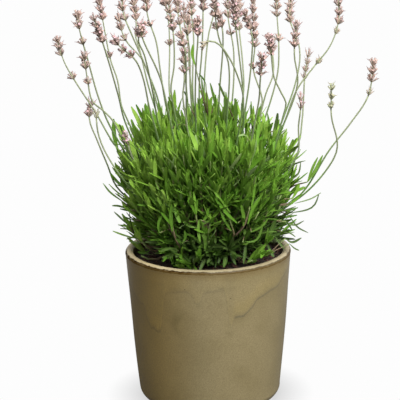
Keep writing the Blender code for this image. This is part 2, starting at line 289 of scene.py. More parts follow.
# %% Mottle group
def make_mottle_group():
    group = bpy.data.node_groups.new("mottle", "ShaderNodeTree")
    group.interface.new_socket("Vector", in_out="INPUT", socket_type="NodeSocketVector")
    for name, start in (("Patch Scale", 40.0), ("Grain Scale", 900.0)):
        socket = group.interface.new_socket(name, in_out="INPUT", socket_type="NodeSocketFloat")
        socket.default_value = start
    group.interface.new_socket("Patches", in_out="OUTPUT", socket_type="NodeSocketFloat")
    group.interface.new_socket("Grain", in_out="OUTPUT", socket_type="NodeSocketFloat")
    entry = group.nodes.new("NodeGroupInput")
    leave = group.nodes.new("NodeGroupOutput")
    for name, detail, low, high in (("Patch", 3.0, 0.36, 0.64), ("Grain", 2.0, 0.30, 0.70)):
        cloud = group.nodes.new("ShaderNodeTexNoise")
        cloud.inputs["Detail"].default_value = detail
        group.links.new(entry.outputs["Vector"], cloud.inputs["Vector"])
        group.links.new(entry.outputs[name + " Scale"], cloud.inputs["Scale"])
        mask = remap(group, cloud.outputs["Fac"], low, high)
        group.links.new(mask, leave.inputs["Patches" if name == "Patch" else "Grain"])
    return group


mottle_group = make_mottle_group()


def mottle(tree, vector, patch_scale, grain_scale):
    """Adds the mottle group; returns its patches and its grain."""
    node = tree.nodes.new("ShaderNodeGroup")
    node.node_tree = mottle_group
    plug(tree, node.inputs["Vector"], vector)
    node.inputs["Patch Scale"].default_value = patch_scale
    node.inputs["Grain Scale"].default_value = grain_scale
    return node.outputs["Patches"], node.outputs["Grain"]


# %% [markdown]
# ## The glaze
# The pot is dipped stoneware: a sandy olive glaze, thicker and yellower above a run line where a
# second dip flowed down, brown where it breaks thin over the lip, with a fine grain and a few iron
# specks. Towards the right the glaze is paler, a painted sheen, and on the left it is more golden.
# On the left its lip is lighter, which is painted light, and its brown edge is stronger. The run
# line follows an attribute that the pot's mesh carries: the height above the line.

# %% Glaze finish
POT_HEIGHT = 0.186
RIM_RADIUS = 0.100


def make_glaze():
    material, tree, shader = start_finish("stoneware_glaze", 0.55, coat=0.20)
    shader.inputs["Coat Roughness"].default_value = 0.12
    place = object_place(tree)
    split = tree.nodes.new("ShaderNodeSeparateXYZ")
    plug(tree, split.inputs["Vector"], place)
    x, y, z = (split.outputs[axis] for axis in "XYZ")

    patches, grain = mottle(tree, place, 26.0, 900.0)
    golden = blend(tree, patches, (0.200, 0.138, 0.040), (0.222, 0.155, 0.048))
    pale_painted_sheen = blend(tree, patches, (0.208, 0.168, 0.082), (0.234, 0.190, 0.096))
    # Painted sheen: towards the right the glaze turns paler and whiter, like the lamp's broad sheen; the
    # left keeps the golden tone.
    color = blend(tree, remap(tree, x, -0.068, -0.004), golden, pale_painted_sheen)
    color = blend(tree, calculate(tree, "MULTIPLY", grain, 0.45), color, (0.100, 0.074, 0.034))

    wobble = calculate(tree, "SUBTRACT", clouds(tree, place, 90.0), 0.5)
    wobble = calculate(tree, "MULTIPLY", wobble, 0.005)
    above = calculate(tree, "ADD", attribute(tree, "run_height"), wobble)
    strength = attribute(tree, "run_strength")
    dipped = remap(tree, above, -0.002, 0.006)
    hang = remap(tree, calculate(tree, "ADD", above, wobble), 0.008, 0.026, 1.0, 0.40)
    thick = calculate(tree, "MULTIPLY", dipped, remap(tree, strength, 0.1, 1.0, 0.30, 1.0))
    thick = calculate(tree, "MULTIPLY", thick, hang)
    color = blend(tree, thick, color, (1.14, 1.12, 1.01), "MULTIPLY")
    near = calculate(tree, "ABSOLUTE", calculate(tree, "ADD", above, 0.0012))
    line = calculate(tree, "MULTIPLY", remap(tree, near, 0.0022, 0.0003), strength)
    color = blend(tree, line, color, (0.74, 0.76, 0.84), "MULTIPLY")
    smudge = attribute(tree, "smudge")
    smudge = calculate(tree, "MULTIPLY", smudge, remap(tree, clouds(tree, place, 60.0), 0.35, 0.6))
    color = blend(tree, smudge, color, (0.70, 0.72, 0.68), "MULTIPLY")

    specks = tree.nodes.new("ShaderNodeTexVoronoi")
    specks.inputs["Scale"].default_value = 75.0
    plug(tree, specks.inputs["Vector"], place)
    rare = calculate(tree, "GREATER_THAN", specks.outputs["Color"], 0.86)
    dot = calculate(tree, "MULTIPLY", remap(tree, specks.outputs["Distance"], 0.085, 0.035), rare)
    color = blend(tree, calculate(tree, "MULTIPLY", dot, 0.8), color, (0.050, 0.032, 0.020))

    flat = tree.nodes.new("ShaderNodeCombineXYZ")
    plug(tree, flat.inputs["X"], x)
    plug(tree, flat.inputs["Y"], y)
    reach = tree.nodes.new("ShaderNodeVectorMath")
    reach.operation = "LENGTH"
    plug(tree, reach.inputs[0], flat.outputs["Vector"])
    radius = reach.outputs["Value"]
    lip = remap(tree, z, POT_HEIGHT - 0.0036, POT_HEIGHT - 0.0020)
    lip_color = blend(tree, patches, (0.245, 0.203, 0.118), (0.305, 0.258, 0.160))
    # Painted light: the lip is made up to 1.75 times lighter towards the left, where the bush shades it.
    lip_color = blend(tree, remap(tree, x, -0.030, -0.090), lip_color, (1.75, 1.70, 1.60), "MULTIPLY")
    color = blend(tree, calculate(tree, "MULTIPLY", lip, 0.9), color, lip_color)
    ragged = calculate(tree, "SUBTRACT", clouds(tree, place, 160.0), 0.5)
    ragged = calculate(tree, "MULTIPLY", ragged, 0.0026)
    edge = calculate(tree, "ADD", calculate(tree, "SUBTRACT", z, POT_HEIGHT - 0.0031), ragged)
    band = remap(tree, calculate(tree, "ABSOLUTE", edge), 0.0021, 0.0013)
    outer = remap(tree, radius, RIM_RADIUS - 0.0035, RIM_RADIUS - 0.0018)
    worn = remap(tree, x, -0.030, 0.010, 1.0, 0.78)
    rubbed = remap(tree, clouds(tree, place, 120.0), 0.30, 0.55, 0.76, 1.0)
    worn = calculate(tree, "MULTIPLY", worn, rubbed)
    broken = calculate(tree, "MULTIPLY", calculate(tree, "MULTIPLY", band, outer), worn)
    color = blend(tree, broken, color, (0.020, 0.009, 0.002))
    plain = calculate(tree, "SUBTRACT", 1.0, broken)
    plug(tree, shader.inputs["Coat Weight"], calculate(tree, "MULTIPLY", plain, 0.20))
    plug(tree, shader.inputs["Specular IOR Level"], calculate(tree, "MULTIPLY", plain, 0.25))
    thin = calculate(tree, "MULTIPLY", remap(tree, edge, -0.0120, -0.0010), outer)
    thin = calculate(tree, "MULTIPLY", thin, remap(tree, edge, 0.0012, 0.0))
    color = blend(tree, calculate(tree, "MULTIPLY", thin, 0.40), color, (0.135, 0.084, 0.022))
    plug(tree, shader.inputs["Base Color"], color)

    gloss = remap(tree, patches, 0.0, 1.0, 0.50, 0.60)
    plug(tree, shader.inputs["Roughness"], gloss)
    relief = calculate(tree, "MULTIPLY", grain, 0.25)
    relief = calculate(tree, "ADD", relief, calculate(tree, "MULTIPLY", dipped, 0.8))
    raise_bumps(tree, shader, relief, 0.35, 0.0006)
    return material


glaze = make_glaze()

# %% [markdown]
# ## The pot
# A pot thrown on a wheel is a turned shape, so its outline is spun about Z. The outline is a few
# points down the outer wall, round the foot, and back up inside. A real pot is never quite true: a
# slow wave of a fraction of a millimetre moves the finished wall.

# %% Pot outline
FOOT_RADIUS = 0.0874
FOOT_TUCK = 0.0025
FOOT_CORNER = 0.013
WALL = 0.010
FLOOR = 0.012
LIP_DROP = 0.0045
SOIL_CORNER = 0.008
GAP = 0.0003


def outer_radius(z):
    """The pot's outer wall: an even taper that tucks in a little more towards the foot."""
    down = 1 - z / POT_HEIGHT
    return RIM_RADIUS - (RIM_RADIUS - FOOT_RADIUS) * down - FOOT_TUCK * down**4


def inner_radius(z):
    return outer_radius(z) - WALL


def arc(centre, radii, start, end, steps):
    """Points of an elliptical arc in the XZ plane, from one angle to another in degrees."""
    angles = [math.radians(start + (end - start) * i / steps) for i in range(steps + 1)]
    return [(centre[0] + radii[0] * math.cos(a), centre[1] + radii[1] * math.sin(a)) for a in angles]


def heights(top, bottom, steps):
    return [top + (bottom - top) * i / steps for i in range(steps + 1)]


def spun(profile, steps):
    """A bmesh turned about Z from an outline in the XZ plane, closed at the axis."""
    bm = bmesh.new()
    verts = [bm.verts.new((x, 0.0, z)) for x, z in profile]
    edges = [bm.edges.new(pair) for pair in zip(verts, verts[1:])]
    bmesh.ops.spin(
        bm, geom=verts + edges, cent=(0, 0, 0), axis=(0, 0, 1), dvec=(0, 0, 0),
        angle=math.tau, steps=steps, use_merge=True,
    )
    bmesh.ops.remove_doubles(bm, verts=bm.verts, dist=1e-6)
    bmesh.ops.recalc_face_normals(bm, faces=bm.faces)
    return bm


# %% [markdown]
# ### The run line of the second dip
# The thick glaze hangs in curtains and drips of its own shape all round the pot. Its edge goes
# straight from point to point, each with its bearing round the pot, and it fades where the two
# glazes melted into each other.

# %% Run line
# Points of the run line: the bearing in degrees from the right-hand side, how far the glaze hangs
# below the rim there, and how clearly its edge shows.
RUN_POINTS = (
    (-175, 0.024, 0.25), (-161, 0.040, 0.30), (-150, 0.050, 0.35), (-144, 0.052, 0.40),
    (-140, 0.072, 0.50), (-137, 0.080, 0.60), (-134, 0.077, 0.90), (-131, 0.081, 0.90),
    (-127, 0.079, 0.70), (-124, 0.052, 0.20), (-121, 0.029, 0.35), (-113, 0.026, 0.45),
    (-104, 0.025, 0.45), (-102, 0.030, 0.15), (-99, 0.041, 0.25), (-96, 0.038, 0.20),
    (-94, 0.027, 0.25), (-88, 0.024, 0.35), (-80, 0.022, 0.30), (-78, 0.036, 0.15),
    (-76, 0.066, 0.15), (-74, 0.075, 0.35), (-72, 0.058, 0.60), (-69, 0.058, 1.00),
    (-65, 0.058, 1.00), (-62, 0.054, 1.00), (-58, 0.048, 1.00), (-54, 0.040, 1.00),
    (-44, 0.035, 0.95), (-34, 0.033, 0.85), (-26, 0.025, 0.60), (-15, 0.020, 0.45),
    (0, 0.024, 0.40), (14, 0.030, 0.40), (22, 0.050, 0.60), (32, 0.053, 0.70),
    (40, 0.028, 0.35), (58, 0.034, 0.50), (64, 0.060, 0.75), (72, 0.064, 0.80),
    (84, 0.048, 0.60), (100, 0.026, 0.30), (118, 0.034, 0.40), (124, 0.052, 0.60),
    (134, 0.050, 0.70), (150, 0.030, 0.30), (166, 0.045, 0.50), (185, 0.024, 0.25),
)
# Smudges where the two glazes melted together: bearing, hang below the rim, half width in
# degrees, half height, and strength.
SMUDGES = (
    (-113, 0.068, 4.0, 0.012, 0.75), (-118, 0.048, 13.0, 0.024, 0.22), (-83, 0.0235, 9.0, 0.003, 0.45),
    (-98, 0.043, 3.0, 0.003, 0.45), (-75, 0.079, 2.5, 0.003, 0.60), (-69, 0.060, 5.0, 0.004, 0.30),
    (-5, 0.040, 8.0, 0.004, 0.40), (27, 0.060, 6.0, 0.004, 0.55), (68, 0.070, 7.0, 0.004, 0.50),
    (92, 0.042, 4.0, 0.012, 0.40), (129, 0.062, 5.0, 0.004, 0.55), (160, 0.060, 9.0, 0.010, 0.35),
)


def run_line(bearing):
    """The run line's height at a bearing in degrees, and how clearly it shows there."""
    if bearing < RUN_POINTS[0][0]:
        bearing += 360
    for (a, hang_a, clear_a), (b, hang_b, clear_b) in zip(RUN_POINTS, RUN_POINTS[1:]):
        if bearing <= b:
            share = (bearing - a) / (b - a)
            hang = hang_a + (hang_b - hang_a) * share
            return POT_HEIGHT - hang, clear_a + (clear_b - clear_a) * share


def smudge_at(bearing, z):
    """How strongly the glaze is smudged at a place on the wall."""
    total = 0.0
    for middle, hang, half_width, half_height, strength in SMUDGES:
        aside = (bearing - middle) / half_width
        off = (z - POT_HEIGHT + hang) / half_height
        total += strength * math.exp(-aside * aside - off * off)
    return min(total, 1.0)


# %% Pot piece
def add_piece(name, bm, materials, *nodes, slot=None):
    """Makes a shaded mesh object from a bmesh, lets it ride, and hides the imported parts it stands for.
    """
    mesh = bpy.data.meshes.new(name)
    bm.to_mesh(mesh)
    bm.free()
    mesh.shade_smooth()
    obj = bpy.data.objects.new(name, mesh)
    for material in materials:
        mesh.materials.append(material)
    bpy.context.scene.collection.objects.link(obj)
    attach(obj, "root")
    if nodes:
        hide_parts(*nodes)
    return obj


def make_pot():
    lip_z = POT_HEIGHT - LIP_DROP
    lip = arc((RIM_RADIUS - WALL / 2, lip_z), (WALL / 2, LIP_DROP), 180, 0, 20)
    corner_r = outer_radius(FOOT_CORNER)
    corner = arc((corner_r - FOOT_CORNER, FOOT_CORNER), (FOOT_CORNER, FOOT_CORNER), 0, -90, 12)
    floor_z = FLOOR + SOIL_CORNER
    floor_corner = arc(
        (inner_radius(floor_z) - SOIL_CORNER, floor_z), (SOIL_CORNER, SOIL_CORNER), -90, 0, 6
    )
    inside = [(inner_radius(z), z) for z in heights(floor_z, lip_z, 14)[1:-1]]
    outside = [(outer_radius(z), z) for z in heights(lip_z, FOOT_CORNER, 84)[1:-1]]
    profile = [(0.0, FLOOR), *floor_corner, *inside, *lip, *outside, *corner, (0.0, 0.0)]
    bm = spun(profile, 300)
    smudge_layer = bm.verts.layers.float.new("smudge")
    height_layer = bm.verts.layers.float.new("run_height")
    strength_layer = bm.verts.layers.float.new("run_strength")
    for vert in bm.verts:
        bearing = math.degrees(math.atan2(vert.co.y, vert.co.x))
        line, clear = run_line(bearing)
        vert[height_layer] = vert.co.z - line
        vert[strength_layer] = clear
        vert[smudge_layer] = smudge_at(bearing, vert.co.z)
        if vert.co.z > FOOT_CORNER and vert.co.xy.length > 0.01:
            wave = noise.noise(vert.co * 14) * 0.0006 + math.sin(vert.co.z * 900) * 0.00002
            vert.co.xy *= 1 + wave / vert.co.xy.length
    return add_piece("glazed_pot", bm, [glaze], "pot", slot="stoneware_glaze")


pot = make_pot()
print("glazed_pot:", len(pot.data.polygons), "faces")

# %% [markdown]
# ## Potting soil
# The compost is nearly black and crumbly, with reddish shreds of bark on top. Its body is spun
# with many rings across the top, which are then raised and lowered by noise. The bark is a
# scatter of small chips, each a box that is squeezed, tapered and turned in its own way.

# %% Soil finish
def make_soil_finish(name, dark, light, patch_scale):
    material, tree, shader = start_finish(name, 0.92)
    place = object_place(tree)
    patches, grain = mottle(tree, place, patch_scale, 1400.0)
    color = blend(tree, patches, dark, light)
    color = blend(tree, calculate(tree, "MULTIPLY", grain, 0.6), color, tuple(c * 0.45 for c in dark))
    plug(tree, shader.inputs["Base Color"], color)
    raise_bumps(tree, shader, calculate(tree, "ADD", patches, grain), 0.8, 0.0012)
    return material


crumb = make_soil_finish("moist_compost", (0.022, 0.012, 0.009), (0.060, 0.028, 0.020), 160.0)
bark_shred = make_soil_finish("bark_shreds", (0.050, 0.020, 0.012), (0.150, 0.062, 0.038), 240.0)

# %% Soil piece
SOIL_EDGE_Z = POT_HEIGHT - 0.011
SOIL_TOP_Z = POT_HEIGHT - 0.006
CROWN_RADIUS = 0.044


def soil_top(radius):
    """The soil's even height before it is roughened: level round the crown, falling to the wall."""
    edge = inner_radius(SOIL_EDGE_Z) - GAP
    share = max(0.0, (radius - CROWN_RADIUS) / (edge - CROWN_RADIUS))
    return SOIL_TOP_Z + (SOIL_EDGE_Z - SOIL_TOP_Z) * min(1.0, share)


def make_soil():
    edge = inner_radius(SOIL_EDGE_Z) - GAP
    top = [(edge * i / 44, soil_top(edge * i / 44)) for i in range(45)]
    corner_z = FLOOR + SOIL_CORNER
    corner_radius = SOIL_CORNER - GAP
    middle = (inner_radius(corner_z) - SOIL_CORNER, corner_z)
    corner = arc(middle, (corner_radius, corner_radius), 0, -90, 4)
    side = [(inner_radius(z) - GAP, z) for z in heights(SOIL_EDGE_Z, corner_z, 8)[1:-1]]
    bm = spun([*top, *side, *corner, (0.0, FLOOR + GAP)], 160)
    for vert in bm.verts:
        if vert.co.z > SOIL_EDGE_Z - 0.0005:
            lumps = noise.noise(vert.co * 60) * 0.0014 + noise.noise(vert.co * 190) * 0.0016
            vert.co.z += lumps + abs(noise.noise(vert.co * 420)) * 0.0012
    return add_piece("compost", bm, [crumb], "potting_soil", slot="potting_soil")


BARK_CHIPS = 520
# A chip's middle lies this high over the soil's even height, so some chips clear the soil.
BARK_LIFT = 0.0010


def make_bark():
    rng = random.Random(21)
    bm = bmesh.new()
    for _ in range(BARK_CHIPS):
        radius = inner_radius(SOIL_EDGE_Z) * math.sqrt(rng.uniform(0.12, 0.965))
        bearing = rng.uniform(0, math.tau)
        size = rng.choice((0.0018, 0.0024, 0.0034, 0.0050)) * rng.uniform(0.8, 1.2)
        height = soil_top(radius) + BARK_LIFT
        spot = Vector((radius * math.cos(bearing), radius * math.sin(bearing), height))
        turn = Matrix.Rotation(rng.uniform(0, math.tau), 4, "Z")
        turn = turn @ Matrix.Rotation(rng.gauss(0, 0.35), 4, "X")
        width = size * rng.uniform(0.35, 0.8)
        shape = Matrix.Diagonal((size, width, size * rng.uniform(0.25, 0.5), 1.0))
        chip = bmesh.new()
        bmesh.ops.create_cube(chip, size=1.0, matrix=Matrix.Translation(spot) @ turn @ shape)
        for vert in chip.verts:
            vert.co += Vector((rng.uniform(-1, 1), rng.uniform(-1, 1), rng.uniform(-1, 1))) * size * 0.14
        scrap = bpy.data.meshes.new("chip")
        chip.to_mesh(scrap)
        chip.free()
        bm.from_mesh(scrap)
        bpy.data.meshes.remove(scrap)
    obj = add_piece("bark_shreds", bm, [bark_shred], slot="potting_soil")
    obj.data.shade_flat()
    return obj


soil = make_soil()
bark = make_bark()
print("compost:", len(soil.data.polygons), "faces; bark:", len(bark.data.polygons), "faces")

# %% [markdown]
# ## The woody crown
# Under the leaves, an old lavender is a low gnarled dome of wood that all stems rise from. It is
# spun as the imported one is, then pulled into knots and furrows by noise.

# %% Wood finish and crown
CROWN_HEIGHT = 0.017
CROWN_EDGE = 0.003
CROWN_FOOT_Z = SOIL_TOP_Z + GAP


def make_wood_finish():
    material, tree, shader = start_finish("lavender_wood", 0.85)
    place = object_place(tree, (1.0, 1.0, 0.25))
    patches, grain = mottle(tree, place, 90.0, 700.0)
    color = blend(tree, patches, (0.060, 0.038, 0.024), (0.150, 0.105, 0.070))
    color = blend(tree, calculate(tree, "MULTIPLY", grain, 0.5), color, (0.035, 0.024, 0.016))
    plug(tree, shader.inputs["Base Color"], color)
    raise_bumps(tree, shader, calculate(tree, "ADD", patches, grain), 0.9, 0.0010)
    return material


wood = make_wood_finish()


def crown_point(radius, azimuth):
    """A point on the crown's dome and the direction straight out of the dome there."""
    share = radius / CROWN_RADIUS
    point = Vector((
        radius * math.cos(azimuth),
        radius * math.sin(azimuth),
        CROWN_FOOT_Z + CROWN_EDGE + CROWN_HEIGHT * (1 - share**2),
    ))
    slope = 2 * CROWN_HEIGHT * share / CROWN_RADIUS
    normal = Vector((slope * math.cos(azimuth), slope * math.sin(azimuth), 1.0)).normalized()
    return point, normal


def make_crown():
    dome = []
    for step in range(23):
        point, _ = crown_point(CROWN_RADIUS * step / 22, 0.0)
        dome.append((point.x, point.z))
    profile = [*dome, (CROWN_RADIUS * 0.98, CROWN_FOOT_Z - 0.002), (0.0, CROWN_FOOT_Z - 0.004)]
    bm = spun(profile, 96)
    for vert in bm.verts:
        if vert.co.z > CROWN_FOOT_Z:
            knots = noise.noise(vert.co * 70) * 0.0022 + noise.noise(vert.co * 200) * 0.0010
            vert.co.z += knots - 0.0008
    return add_piece("gnarled_crown", bm, [wood], "woody_crown", slot="lavender_wood")


crown = make_crown()
print("gnarled_crown:", len(crown.data.polygons), "faces")

# %% [markdown]
# ## Lines for the stems
# A stem leaves the crown square to its surface and passes smoothly through a few points. These
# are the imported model's own rules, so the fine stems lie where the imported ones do.

# %% Stem lines
PLACES = 37
PLACES_RADIUS = 0.039
GOLDEN_ANGLE = math.pi * (3 - math.sqrt(5))
STALK_SPREAD = 0.30
CURVE_STEPS = 12


def crown_places():
    """Places on the crown, spread by the golden angle, as (radius, azimuth)."""
    return [
        (PLACES_RADIUS * math.sqrt((i + 0.5) / PLACES), i * GOLDEN_ANGLE) for i in range(PLACES)
    ]


def take_nearest(places, x, y):
    """Takes out of the free places the one that lies nearest to (x, y)."""
    nearest = min(places, key=lambda p: (p[0] * math.cos(p[1]) - x)**2 + (p[0] * math.sin(p[1]) - y)**2)
    places.remove(nearest)
    return nearest


def smooth_curve(points, first_direction, steps):
    """Points along one smooth curve through the given points, leaving in the first direction."""
    directions = [first_direction]
    for before, after in zip(points, points[2:]):
        directions.append((after - before).normalized())
    directions.append((points[-1] - points[-2]).normalized())
    curve = [points[0]]
    for i in range(len(points) - 1):
        handle = (points[i + 1] - points[i]).length / 3
        curve += interpolate_bezier(
            points[i], points[i] + directions[i] * handle,
            points[i + 1] - directions[i + 1] * handle, points[i + 1], steps + 1,
        )[1:]
    return curve


def length_of(curve):
    return sum((b - a).length for a, b in zip(curve, curve[1:]))


def point_at(curve, distance):
    """The point at a distance along a curve, and the curve's direction there."""
    for a, b in zip(curve, curve[1:]):
        step = (b - a).length
        if distance <= step:
            break
        distance -= step
    direction = (b - a).normalized()
    return a + direction * min(distance, step), direction


# %% [markdown]
# ### From a line to a stem
# A ring of corners is drawn out along the line, one extrusion for each ring, so that the stem is
# one closed skin. Each corner remembers how far along the stem it lies, for the colour.

# %% Stem skin
def extrude_to(bm, face, corners):
    """Extrudes one face and moves the new face's corners to the given points."""
    face = bmesh.ops.extrude_discrete_faces(bm, faces=[face])["faces"][0]
    for vert, corner in zip(face.verts, corners):
        vert.co = corner
    return face


def sweep(curve, sides, rings, material_index=0):
    """A closed stem along the curve with a ring at each (distance, radius)."""
    bm = bmesh.new()
    along = bm.verts.layers.float.new("along")
    circle = bmesh.ops.create_circle(bm, cap_ends=True, segments=sides, radius=1.0)
    face = circle["verts"][0].link_faces[0]
    outline = [vert.co.copy() for vert in face.verts]
    last = rings[-1][0]
    for i, (distance, radius) in enumerate(rings):
        point, direction = point_at(curve, distance)
        turn = UP.rotation_difference(direction)
        corners = [point + turn @ (side * radius) for side in outline]
        if i > 0:
            face = extrude_to(bm, face, corners)
        for vert, corner in zip(face.verts, corners):
            vert.co = corner
            vert[along] = distance / last
    bmesh.ops.holes_fill(bm, edges=[edge for edge in bm.edges if edge.is_boundary])
    bmesh.ops.recalc_face_normals(bm, faces=bm.faces)
    for face in bm.faces:
        face.material_index = material_index
    return bm


def pour(into, part):
    """Adds a small bmesh to a bigger one and frees it."""
    scrap = bpy.data.meshes.new("scrap")
    part.to_mesh(scrap)
    part.free()
    into.from_mesh(scrap)
    bpy.data.meshes.remove(scrap)


# %% [markdown]
# ## Stalk finish
# Flower stalks are thin, grey-green and a little downy, and browner near the crown.

# %% Stalk finish
def make_stalk_finish():
    material, tree, shader = start_finish("lavender_stalk", 0.62)
    place = object_place(tree)
    patches, grain = mottle(tree, place, 60.0, 900.0)
    along = attribute(tree, "along")
    color = blend(tree, patches, (0.050, 0.130, 0.010), (0.090, 0.185, 0.024))
    color = blend(tree, remap(tree, along, 0.50, 0.84), color, (0.205, 0.232, 0.124))
    color = blend(tree, remap(tree, along, 0.20, 0.02), color, (0.120, 0.085, 0.045))
    plug(tree, shader.inputs["Base Color"], color)
    shader.inputs["Sheen Weight"].default_value = 0.60
    shader.inputs["Sheen Tint"].default_value = (0.80, 0.92, 0.62, 1.0)
    raise_bumps(tree, shader, grain, 0.12, 0.0002)
    return material


stalk_green = make_stalk_finish()

# %% [markdown]
# ## The flower stems
# Forty-five stems carry flowers. Each row gives the points that a stem passes from the top of the
# leaves to its tip, the length of its flower head, and how far below the head any lone
# whorls stand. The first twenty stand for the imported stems, and the others fill in between.

